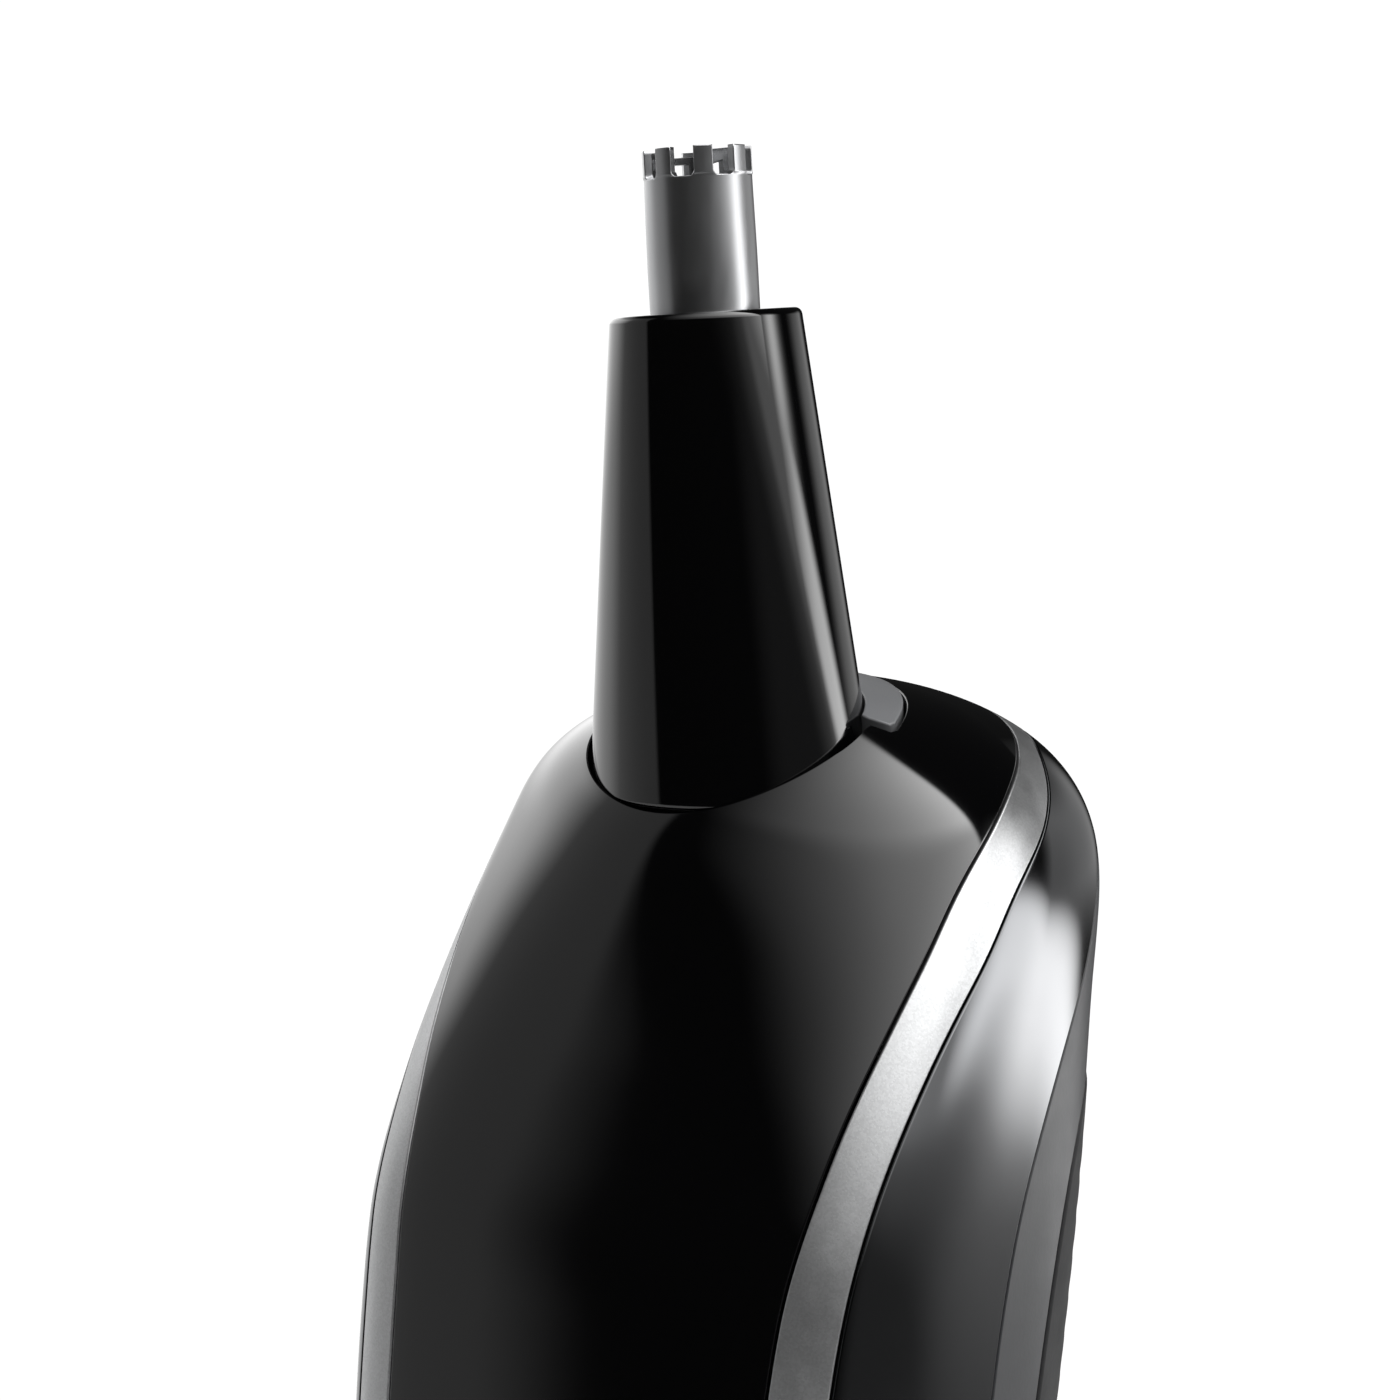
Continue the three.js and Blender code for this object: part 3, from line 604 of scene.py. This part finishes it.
def box_distance(a, b, half_a, half_b, corner):
    """Signed distance outside a rounded rectangle."""
    qa, qb = np.abs(a) - half_a + corner, np.abs(b) - half_b + corner
    return np.hypot(np.maximum(qa, 0), np.maximum(qb, 0)) + np.minimum(np.maximum(qa, qb), 0) - corner


def ring_region(points):
    outer = oval_distance(points, *RING_SIZE, SWITCH_Z)
    inner = oval_distance(points, RING_SIZE[0] - RING_WIDTH, RING_SIZE[1] - RING_WIDTH, SWITCH_Z)
    return np.minimum(-outer, inner) - RING_EDGE


def recess_region(points):
    well = -oval_distance(points, *RING_SIZE, SWITCH_Z)
    slot = box_distance(points[..., 0], points[..., 2] - SWITCH_Z, 2.5, 8.0, 1.2)
    return np.minimum(well, slot) - EDGE


def button_outline(points):
    x, z = points[..., 0], points[..., 2] - BUTTON_Z
    waist = 0.35 * (z / BUTTON_HALF[1]) ** 2
    return -box_distance(x, z, BUTTON_HALF[0] - waist, BUTTON_HALF[1], 3.6)


def button_region(points):
    return button_outline(points) - BUTTON_EDGE


def button_height(points):
    """A crowned pad with four grip ribs across its middle."""
    x, z = points[..., 0], points[..., 2] - BUTTON_Z
    crown = 1.3 - 0.25 * (x / BUTTON_HALF[0]) ** 2 + 0.35 * smooth((z - 3) / 6) ** 2
    wave = np.cos(np.clip((z - RIB_SHIFT) / RIB_PITCH, -2, 2) * TAU + math.pi)
    ribs = 0.3 * np.maximum(wave, 0) ** 1.5
    return crown + ribs * smooth((3.4 - np.abs(x)) / 0.8)


def lens_region(points):
    return -oval_distance(points, LAMP_R, LAMP_R, LAMP_Z) - 0.1


def front_controls():
    finish_piece(patch("switch_ring_oval", 0.12, ring_region, 0.9, RING_EDGE, 0.15, 55, 87, 0.6), "handle",
                 FINISHES["silver_paint"], "silver_paint", "switch_ring")
    finish_piece(patch("switch_recess_floor", -0.9, recess_region, 1.1, EDGE, 0.4, 55, 87), "handle",
                 FINISHES["button_black"], "gloss_black")
    finish_piece(patch("slide_button_pad", button_height, button_region, 2.6, BUTTON_EDGE, 0.16, 57, 79, 0.4),
                 "switch", FINISHES["button_black"], "button_black", "slide_button")
    finish_piece(patch("charge_light_window", 0.05, lens_region, 1.5, 0.1, 0.12, 48, 52, 0.15), "handle",
                 FINISHES["clear_lens"], "clear_lens", "light_pipe")


# ---------------------------------------------------------------- back and base

def grip_height(points):
    """Shallow ribs across the rubber pad, fading out towards its edge."""
    inside = smooth((-GRIP.ahead(points) - 1.2) / 2.0) * smooth((points[..., 1] - 9.5) / 3.0)
    wave = 0.5 - 0.5 * np.cos(points[..., 2] / GRIP_PITCH * TAU)
    return 0.12 - GRIP_RIB * inside * wave ** 3


def rear_grip():
    angles = np.linspace(-0.4, math.pi + 0.4, 150)
    runs = np.arange(18, 124, 0.34)
    grid = Grid(raised(grip_height), angles, runs, grip_region)
    return mesh_object("rear_grip_pad", *thickened(grid, 1.0, 0.25))


def cap_surface(angle, run):
    """The base: flat underneath, rounded at its edge, then up the handle's side."""
    turn = np.clip((run - CAP_FLAT) / (CAP_ROUND * math.pi / 2), 0, 1) * math.pi / 2
    rise_up = np.maximum(run - CAP_FLAT - CAP_ROUND * math.pi / 2, 0)
    height = CAP_ROUND * (1 - np.cos(turn)) + rise_up
    rim = handle_surface(angle, height)
    inset = 1 - CAP_ROUND * (1 - np.sin(turn)) / HALF_WIDTH(0.0)
    share = inset * np.clip(run / CAP_FLAT, 1e-4, 1)
    return np.stack([rim[..., 0] * share, rim[..., 1] * share, rim[..., 2]], -1)


def cap_region(points):
    socket = box_distance(points[..., 0], points[..., 1] - SOCKET_Y, 4.2, 2.7, 0.9)
    return np.where(points[..., 2] < 0.5, socket, 9.0) - EDGE


def bottom_cap():
    side = CAP_FLAT + CAP_ROUND * math.pi / 2
    runs = np.concatenate([np.linspace(0, CAP_FLAT, 30), np.linspace(CAP_FLAT, side, 9)[1:],
                           np.linspace(side, side + BASE_HEIGHT - CAP_ROUND - SEAM - EDGE, 12)[1:]])
    grid = Grid(cap_surface, ANGLES, runs, cap_region, wrap=True, pole=0)
    return mesh_object("base_cap", *thickened(grid, 1.8, EDGE))


# ---------------------------------------------------------------- head

def turned(name, outline, radii, segments=128, squash=0.0, sharp=32):
    """Closed body turned about the head's axis from (radius, height) points, run anticlockwise."""
    r, z = rounded(outline, radii).T
    angle = np.linspace(0, TAU, segments, endpoint=False)[:, None]
    flat = 1 - squash * np.maximum(-z, 0) / CONE_LENGTH
    points = np.stack([r * np.cos(angle), r * np.sin(angle) * flat, z + 0 * angle], -1)
    count = len(r)
    faces = []
    for i in range(segments):
        for j in range(count):
            beside, above = (i + 1) % segments, (j + 1) % count
            ids = [(i, j), (beside, j), (beside, above), (i, above)]
            face = [(0 if r[b] < 1e-6 else a) * count + b for a, b in ids]
            face = list(dict.fromkeys(face))
            if len(face) > 2:
                faces.append(face)
    flat_points = on_axis(points.reshape(-1, 3))
    used = sorted({p for face in faces for p in face})
    number = {p: k for k, p in enumerate(used)}
    return mesh_object(name, flat_points[used], [[number[p] for p in face] for face in faces], sharp=sharp)


def bevelled_prism(name, outline, radii, half_width, bevel):
    """A flat outline of (back, up) points in the head's frame, given width across X and soft edges."""
    line = rounded(outline, radii, 4)
    count = len(line)
    sides = (-half_width, half_width)
    points = np.concatenate([np.column_stack([np.full(count, side), line]) for side in sides])
    faces = [list(range(count))[::-1], list(range(count, 2 * count))]
    faces += [[i, (i + 1) % count, (i + 1) % count + count, i + count] for i in range(count)]
    piece = mesh_object(name, on_axis(points), faces, sharp=35)
    soften = piece.modifiers.new("edge", "BEVEL")
    soften.width, soften.segments, soften.limit_method = bevel * MM, 3, "ANGLE"
    soften.harden_normals = True
    return piece


def cone():
    outline = [(3.85, -1.5), (4.8, -1.5), (7.8, -CONE_LENGTH), (CONE_BASE_R, -CONE_LENGTH), (CONE_TOP_R, 0),
               (3.85, 0)]
    body = turned("head_cone", outline, [0.1, 0.3, 0.2, 0.35, 0.5, 0.15], 192, CONE_SQUASH)
    finish_piece(body, "head", FINISHES["gloss_black"], "gloss_black", "cone_shell")
    ridge = [(6.0, -13.8), (6.9, -13.8), (7.75, -17), (8.25, -24.6), (6.0, -24.6)]
    spine = bevelled_prism("cone_spine", ridge, [0, 0.4, 2, 0.25, 0], 1.3, 0.2)
    finish_piece(spine, "head", FINISHES["gloss_black"], "gloss_black")


def tube_surface(angle, height):
    r = TUBE_R - 0.1 * smooth((height - 2) / (TUBE_TOP - 2)) + 0.04 * smooth((height - SLOT_FLOOR) / 0.12)
    return on_axis(np.stack([r * np.cos(angle), r * np.sin(angle), height + 0 * angle], -1))


def tube_region(points):
    p = off_axis(points)
    pitch = TAU / SLOT_COUNT
    beside = ((np.arctan2(p[..., 1], p[..., 0]) - SLOT_TURN + pitch / 2) % pitch - pitch / 2) * TUBE_R
    slot = box_distance(beside, p[..., 2] - SLOT_FLOOR - 5, SLOT_WIDTH / 2, 5, 0.3)
    return slot - TUBE_EDGE


def guard():
    angles = np.linspace(0, TAU, 224, endpoint=False) + 1e-3
    heights = np.concatenate([np.linspace(-20.8, 7.4, 24), np.linspace(7.4, TUBE_TOP - TUBE_EDGE, 30)[1:]])
    grid = Grid(tube_surface, angles, heights, tube_region, wrap=True)
    piece = mesh_object("guard_tube_slotted", *thickened(grid, TUBE_WALL, TUBE_EDGE))
    return finish_piece(piece, "head", FINISHES["guard_steel"], "guard_steel", "guard_tube")


def tab_region(points):
    p = off_axis(points)
    x, y = p[..., 0], p[..., 1]
    beside = np.cos(TAB_START) * y - np.sin(TAB_START) * np.abs(x)
    down = np.clip(-p[..., 2] / CONE_LENGTH, 0, 1)
    gap_x = CONE_TOP_R + (CONE_BASE_R - CONE_TOP_R) * down + CONE_GAP
    gap_y = gap_x * (1 - CONE_SQUASH * down)
    cone_gap = (np.hypot(x / gap_x, y / gap_y) - 1) * gap_y
    return np.minimum.reduce([TAB_OUTER_R - np.hypot(x, y), beside, cone_gap]) - EDGE


def thumb_tab():
    wall = BODY_TOP - DOME_HEIGHT
    runs = np.concatenate([np.linspace(118, wall, 10), wall + DOME_RUN * np.linspace(0, 0.985, 120)[1:]])
    down = lambda points, normal: np.broadcast_to(-HEAD_UP, points.shape)
    grid = Grid(raised(TAB_RAISE), ANGLES, runs, tab_region, wrap=True)
    tab = mesh_object("thumb_tab", *thickened(grid, TAB_SKIRT, EDGE, down))
    finish_piece(tab, "head", FINISHES["tab_grey"], "tab_grey", "head_base")
    stepped = [(4, -34), (8.4, -34), (8.4, -31.2), (6.2, -31.2), (6.2, -25.5), (4, -25.5)]
    hub = turned("head_base_hub", stepped, 0.25, 96, 0.06)
    finish_piece(hub, "head", FINISHES["tab_grey"], "tab_grey")


def rotor():
    """Cutting rotor: a thin stepped bridge across the bore on a central stem, its ends ground to blades."""
    outline = [(-0.45, 5.0), (0.45, 5.0), (0.45, 9.0), (1.75, 9.3), (1.75, 8.6), (2.3, 8.5), (2.75, 9.2),
               (2.75, 9.9), (2.5, 10.0), (0.3, 9.95), (-0.1, 9.55), (-2.75, 9.55), (-2.75, 8.9), (-2.35, 8.9),
               (-2.35, 9.15), (-0.45, 9.1)]
    line = rounded(outline, 0.06, 3)
    across = np.array([math.cos(ROTOR_TURN), math.sin(ROTOR_TURN), 0])
    along = np.array([-math.sin(ROTOR_TURN), math.cos(ROTOR_TURN), 0])
    count = len(line)
    flat = line[:, :1] * across + line[:, 1:] * [0, 0, 1]
    points = np.concatenate([flat + along * side for side in (-0.4, 0.4)])
    faces = [list(range(count))[::-1], list(range(count, 2 * count))]
    faces += [[i, (i + 1) % count, (i + 1) % count + count, i + count] for i in range(count)]
    bridge = mesh_object("cutter_bridge", on_axis(points), faces, sharp=30)
    soften = bridge.modifiers.new("edge", "BEVEL")
    soften.width, soften.segments, soften.limit_method = 0.05 * MM, 2, "ANGLE"
    finish_piece(bridge, "cutter", FINISHES["blade_steel"], "blade_steel", "cutter_blade")
    sleeve = turned("cutter_sleeve", [(1.5, 1.5), (2.3, 1.5), (2.3, 4.2), (2.7, 4.6), (2.7, 5.2), (1.5, 5.2)],
                    0.12, 64)
    finish_piece(sleeve, "cutter", FINISHES["blade_steel"], "blade_steel")


# ---------------------------------------------------------------- finishes

def add_node(tree, kind, inputs=None, **settings):
    """Adds a shader node; an input given as a socket is linked, anything else is set on it."""
    node = tree.nodes.new(kind)
    for key, value in settings.items():
        setattr(node, key, value)
    for key, value in (inputs or {}).items():
        if isinstance(value, bpy.types.NodeSocket):
            tree.links.new(value, node.inputs[key])
        else:
            node.inputs[key].default_value = value
    return node


def new_finish(name, **constants):
    """A Principled material with its constant inputs set, and its tree, shader and coordinates."""
    material = bpy.data.materials.new(name)
    material.use_nodes = True
    tree = material.node_tree
    shader = tree.nodes["Principled BSDF"]
    for key, value in constants.items():
        shader.inputs[key.replace("_", " ")].default_value = value
    place = add_node(tree, "ShaderNodeTexCoord").outputs["Object"]
    return material, tree, shader, place


def noise(tree, place, scale, detail=3.0):
    inputs = {"Vector": place, "Scale": scale, "Detail": detail}
    return add_node(tree, "ShaderNodeTexNoise", inputs).outputs["Fac"]


def spread(tree, value, low, high, start=0.3, end=0.7):
    return add_node(tree, "ShaderNodeMapRange", {"Value": value, "From Min": start, "From Max": end,
                                                 "To Min": low, "To Max": high}).outputs["Result"]


def tint(tree, value, dark, light, start=0.3, end=0.7):
    ramp = add_node(tree, "ShaderNodeValToRGB", {"Fac": value})
    ramp.color_ramp.elements[0].position, ramp.color_ramp.elements[1].position = start, end
    ramp.color_ramp.elements[0].color = (*dark, 1)
    ramp.color_ramp.elements[1].color = (*light, 1)
    return ramp.outputs["Color"]


def bump(tree, height, depth, strength=1.0, onto=None):
    inputs = {"Height": height, "Distance": depth, "Strength": strength}
    if onto is not None:
        inputs["Normal"] = onto
    return add_node(tree, "ShaderNodeBump", inputs).outputs["Normal"]


def moulded(name, colour, roughness, grain=0.0, grain_scale=3000.0, peel=4e-6, drift=0.06, **constants):
    """Injection-moulded plastic: slow colour and gloss drift, orange peel and, if wanted, a fine grain."""
    material, tree, shader, place = new_finish(name, **constants)
    dark, light = ([c * f for c in colour] for f in (1 - drift, 1 + drift))
    tree.links.new(tint(tree, noise(tree, place, 90.0), dark, light), shader.inputs["Base Color"])
    haze = noise(tree, place, 420.0, 6.0)
    tree.links.new(spread(tree, haze, roughness * 0.94, roughness * 1.06), shader.inputs["Roughness"])
    surface = bump(tree, noise(tree, place, 260.0, 1.0), peel)
    if grain:
        surface = bump(tree, noise(tree, place, grain_scale, 2.0), grain, onto=surface)
    tree.links.new(surface, shader.inputs["Normal"])
    return material


def flake_paint(name, colour, roughness):
    """Silver paint: tiny flakes, each with its own brightness and lean, under a smooth lacquer."""
    material, tree, shader, place = new_finish(name, Metallic=0.85, Coat_Weight=0.25, Coat_Roughness=0.12)
    flakes = add_node(tree, "ShaderNodeTexVoronoi", {"Vector": place, "Scale": 9000.0})
    glint = add_node(tree, "ShaderNodeSeparateColor", {"Color": flakes.outputs["Color"]}).outputs["Red"]
    dark, light = ([c * f for c in colour] for f in (0.92, 1.08))
    tree.links.new(tint(tree, glint, dark, light, 0.0, 1.0), shader.inputs["Base Color"])
    tree.links.new(spread(tree, noise(tree, place, 700.0), roughness * 0.9, roughness * 1.1),
                   shader.inputs["Roughness"])
    tree.links.new(bump(tree, glint, 4e-6, 0.3), shader.inputs["Normal"])
    return material


def worked_metal(name, colour, roughness, stretch=(1, 1, 1), scale=1500.0, depth=2e-6):
    """Metal with a blasted or drawn surface: the stretch of its noise gives the direction of the lines."""
    material, tree, shader, place = new_finish(name, Metallic=1.0)
    drawn = add_node(tree, "ShaderNodeMapping", {"Vector": place, "Scale": stretch}).outputs["Vector"]
    lines = noise(tree, drawn, scale, 4.0)
    dark, light = ([c * f for c in colour] for f in (0.97, 1.03))
    tree.links.new(tint(tree, noise(tree, place, 240.0, 1.0), dark, light), shader.inputs["Base Color"])
    tree.links.new(spread(tree, lines, roughness * 0.94, roughness * 1.06), shader.inputs["Roughness"])
    tree.links.new(bump(tree, lines, depth), shader.inputs["Normal"])
    return material


def circuit_finish():
    """Solder mask over copper tracks laid on a fine square pitch."""
    material, tree, shader, place = new_finish("circuit_board", Roughness=0.35)
    upright = add_node(tree, "ShaderNodeMapping", {
        "Vector": place, "Rotation": (math.pi / 2, 0, 0)}).outputs[0]
    tracks = add_node(tree, "ShaderNodeTexBrick", {
        "Vector": upright, "Scale": 260.0, "Mortar Size": 0.06, "Mortar": (0.03, 0.16, 0.07, 1),
        "Color1": (0.012, 0.075, 0.035, 1), "Color2": (0.010, 0.062, 0.03, 1)})
    tree.links.new(tracks.outputs["Color"], shader.inputs["Base Color"])
    tree.links.new(bump(tree, tracks.outputs["Fac"], 2e-5), shader.inputs["Normal"])
    return material


FINISHES = {
    "gloss_black": moulded("gloss_black", (0.0012, 0.0012, 0.0014), 0.07, peel=8e-7, Coat_Weight=0.55,
                           Coat_Roughness=0.04),
    "button_black": moulded("button_black", (0.006, 0.006, 0.0065), 0.2),
    "dark_gloss": moulded("dark_gloss", (0.13, 0.132, 0.136), 0.11, peel=4e-7, Metallic=1.0),
    "satin_grey": moulded("satin_grey", (0.03, 0.031, 0.034), 0.42, grain=6e-6),
    "grip_rubber": moulded("grip_rubber", (0.014, 0.014, 0.015), 0.7, grain=1.4e-5, grain_scale=2200.0),
    "silver_paint": flake_paint("silver_paint", (0.52, 0.525, 0.53), 0.33),
    "tab_grey": moulded("tab_grey", (0.19, 0.193, 0.2), 0.34, grain=3e-6),
    "guard_steel": worked_metal("guard_steel", (0.46, 0.464, 0.472), 0.32, stretch=(1, 1, 0.25), depth=3e-7),
    "blade_steel": worked_metal("blade_steel", (0.55, 0.555, 0.565), 0.2, stretch=(1, 1, 6)),
    "motor_steel": worked_metal("motor_steel", (0.5, 0.5, 0.505), 0.3, stretch=(1, 1, 8)),
    "brass": worked_metal("brass", (0.62, 0.42, 0.17), 0.28, stretch=(1, 5, 1)),
    "white_plastic": moulded("white_plastic", (0.62, 0.62, 0.59), 0.42, grain=5e-6),
    "cell_wrap": moulded("cell_wrap", (0.02, 0.10, 0.28), 0.25, peel=1.2e-5),
    "board_green": circuit_finish(),
    "black_plastic": moulded("black_plastic", (0.009, 0.009, 0.010), 0.4, grain=5e-6),
    "red_plastic": moulded("red_plastic", (0.30, 0.012, 0.012), 0.35, peel=8e-6),
    "clear_lens": moulded("clear_lens", (0.72, 0.78, 0.74), 0.12, Transmission_Weight=0.4),
}


def dress_cad_nodes():
    """Each CAD node that stays in view takes the finish of its material slot."""
    for node in frame["nodes"].values():
        for index, material in enumerate(node.data.materials):
            node.data.materials[index] = FINISHES.get(material.name.split(".")[0], FINISHES["black_plastic"])


dress_cad_nodes()

finish_piece(handle_shell("front_panel_moulding", front_region, inward=head_inward), "handle",
             FINISHES["gloss_black"], "gloss_black", "front_panel")
finish_piece(handle_shell("silver_trim_arch", trim_region), "handle",
             FINISHES["silver_paint"], "silver_paint", "silver_trim")
finish_piece(handle_shell("side_panel_moulding", side_region), "handle",
             FINISHES["dark_gloss"], "dark_gloss", "side_shell")
finish_piece(handle_shell("rear_cover_moulding", rear_region), "handle",
             FINISHES["satin_grey"], "satin_grey", "rear_cover")
finish_piece(rear_grip(), "handle", FINISHES["grip_rubber"], "grip_rubber", "rear_grip")
finish_piece(bottom_cap(), "handle", FINISHES["satin_grey"], "satin_grey", "bottom_cap")
front_controls()
cone()
guard()
thumb_tab()
rotor()


# ---------------------------------------------------------------- studio

def pale_floor():
    """A round pale table top under the trimmer."""
    radius, thickness, bevel, sides = 240.0, 12.0, 2.0, 96
    rim = np.linspace(0, TAU, sides, endpoint=False)
    rings = [(radius - bevel, 0.0), (radius, -bevel), (radius, -thickness)]
    points = [[0, 0, 0]] + [[r * math.cos(a), r * math.sin(a), z] for r, z in rings for a in rim]
    after = [(i + 1) % sides for i in range(sides)]
    faces = [[0, 1 + i, 1 + after[i]] for i in range(sides)]
    for ring in (1, 1 + sides):
        faces += [[ring + i, ring + sides + i, ring + sides + after[i], ring + after[i]]
                  for i in range(sides)]
    floor = mesh_object("floor", points, faces, sharp=60)
    floor.data.materials.append(moulded("floor_pale", (0.78, 0.78, 0.78), 0.6, drift=0.01))


def front_right_camera():
    camera = bpy.data.objects.new("camera", bpy.data.cameras.new("camera"))
    bpy.context.scene.collection.objects.link(camera)
    camera.data.sensor_width = 36
    camera.data.lens = 55.29
    camera.data.clip_start = 0.005
    camera.location = (0.08046, -0.12132, 0.13835)
    camera.rotation_euler = [math.radians(angle) for angle in (89.608, -3.782, 35.587)]
    bpy.context.scene.camera = camera


def calc(tree, operation, *values):
    """One math node; values are sockets or numbers."""
    return add_node(tree, "ShaderNodeMath", dict(enumerate(values)), operation=operation).outputs[0]


def product(tree, *values):
    total = values[0]
    for value in values[1:]:
        total = calc(tree, "MULTIPLY", total, value)
    return total


def rise(tree, value, low, high):
    """Soft step from 0 at low to 1 at high."""
    return add_node(tree, "ShaderNodeMapRange", {"Value": value, "From Min": low, "From Max": high},
                    interpolation_type="SMOOTHSTEP").outputs["Result"]


def fall(tree, value, low, high):
    return calc(tree, "SUBTRACT", 1.0, rise(tree, value, low, high))


def glow(tree, direction, centre, spread_angle, strength):
    """Light that fades away from a centre direction."""
    towards = add_node(tree, "ShaderNodeVectorMath", {0: direction, 1: Vector(centre).normalized()},
                       operation="DOT_PRODUCT").outputs["Value"]
    away = calc(tree, "SUBTRACT", 1.0, towards)
    return calc(tree, "MULTIPLY", calc(tree, "EXPONENT", calc(tree, "DIVIDE", away, -spread_angle)), strength)


def overhead_panel(tree, x, y, z):
    """Large softbox above, brightest to the front right, with a curved rear edge."""
    aside = calc(tree, "ABSOLUTE", calc(tree, "SUBTRACT", x, 0.5))
    bowed = product(tree, calc(tree, "POWER", aside, 2.0), 0.55)
    behind = calc(tree, "SUBTRACT", y, bowed)
    higher = calc(tree, "ADD", 0.62, product(tree, rise(tree, z, 0.6, 0.72), 0.38))
    return product(tree, calc(tree, "EXPONENT", product(tree, y, 1.8)), rise(tree, x, -0.45, 0.65),
                   rise(tree, z, 0.2, 0.46), higher, fall(tree, behind, 0.03, 0.08), 6.5)


def left_panels(tree, left, up):
    """Tall softbox on the left with a crisp edge, and a brighter strip on its far half."""
    farther = calc(tree, "ADD", 0.31, product(tree, rise(tree, left, -45, 25), 0.33))
    box = product(tree, rise(tree, left, -54, -50), fall(tree, left, 50, 54), rise(tree, up, -45, -20),
                  fall(tree, up, 36, 46), farther)
    strip = product(tree, rise(tree, left, -34, 2), fall(tree, left, 50, 60), fall(tree, up, 28, 40),
                    calc(tree, "ADD", 0.8, rise(tree, up, 2, 16)))
    return [box, strip]


def right_panels(tree, right, up, direction):
    """A bright slanted strip with light that grows towards it, low light round it and a dim panel past it."""
    growing = calc(tree, "MINIMUM", calc(tree, "EXPONENT", product(tree, right, 0.058)), 1.05)
    ramp = product(tree, growing, rise(tree, right, -75, -50), fall(tree, right, 10, 30),
                   rise(tree, up, 2, 15), fall(tree, up, 20, 35), 0.7)
    slant = calc(tree, "ADD", up, product(tree, right, 0.36))
    steep = calc(tree, "ADD", up, product(tree, right, 0.5))
    nearer = calc(tree, "ADD", product(tree, rise(tree, slant, -2, 14), 0.42),
                  product(tree, rise(tree, slant, 8, 13), 0.5))
    low = product(tree, calc(tree, "ADD", 0.09, nearer), rise(tree, right, -50, -20),
                  fall(tree, right, 66, 80), rise(tree, up, -60, -30), fall(tree, steep, 26, 33))
    strip = product(tree, rise(tree, slant, 9.5, 15.5), fall(tree, steep, 26, 33), rise(tree, right, 5, 34),
                    fall(tree, right, 76, 92), 4.9)
    dim = product(tree, rise(tree, right, 50, 72), fall(tree, right, 90, 104), rise(tree, up, -8, 2),
                  fall(tree, up, 16, 30), 0.5)
    return [ramp, low, strip, dim, glow(tree, direction, (0.866, 0.35, 0.358), 0.012, 5.0)]


def studio():
    """White surroundings for the camera; for everything else, soft panels round a dark room."""
    world = bpy.data.worlds.new("studio")
    bpy.context.scene.world = world
    world.use_nodes = True
    tree = world.node_tree
    tree.nodes.clear()
    direction = add_node(tree, "ShaderNodeTexCoord").outputs["Generated"]
    axes = add_node(tree, "ShaderNodeSeparateXYZ", {"Vector": direction}).outputs
    x, y, z = axes["X"], axes["Y"], axes["Z"]
    degrees = 180 / math.pi
    right = product(tree, calc(tree, "ARCTAN2", y, x), degrees)
    left = product(tree, calc(tree, "ARCTAN2", y, product(tree, x, -1.0)), degrees)
    up = product(tree, calc(tree, "ARCSINE", z), degrees)
    total = ROOM_LIGHT
    lights = [overhead_panel(tree, x, y, z), *left_panels(tree, left, up),
              *right_panels(tree, right, up, direction)]
    for panel in lights:
        total = calc(tree, "MAXIMUM", total, panel)
    seen = add_node(tree, "ShaderNodeLightPath").outputs["Is Camera Ray"]
    panels = add_node(tree, "ShaderNodeBackground", {"Strength": total, "Color": (1, 1, 1, 1)})
    backdrop = add_node(tree, "ShaderNodeBackground", {"Strength": 1.05, "Color": (1, 1, 1, 1)})
    mix = add_node(tree, "ShaderNodeMixShader", {0: seen, 1: panels.outputs[0], 2: backdrop.outputs[0]})
    add_node(tree, "ShaderNodeOutputWorld", {"Surface": mix.outputs[0]})


pale_floor()
front_right_camera()
studio()
bpy.context.scene.view_settings.view_transform = "Standard"
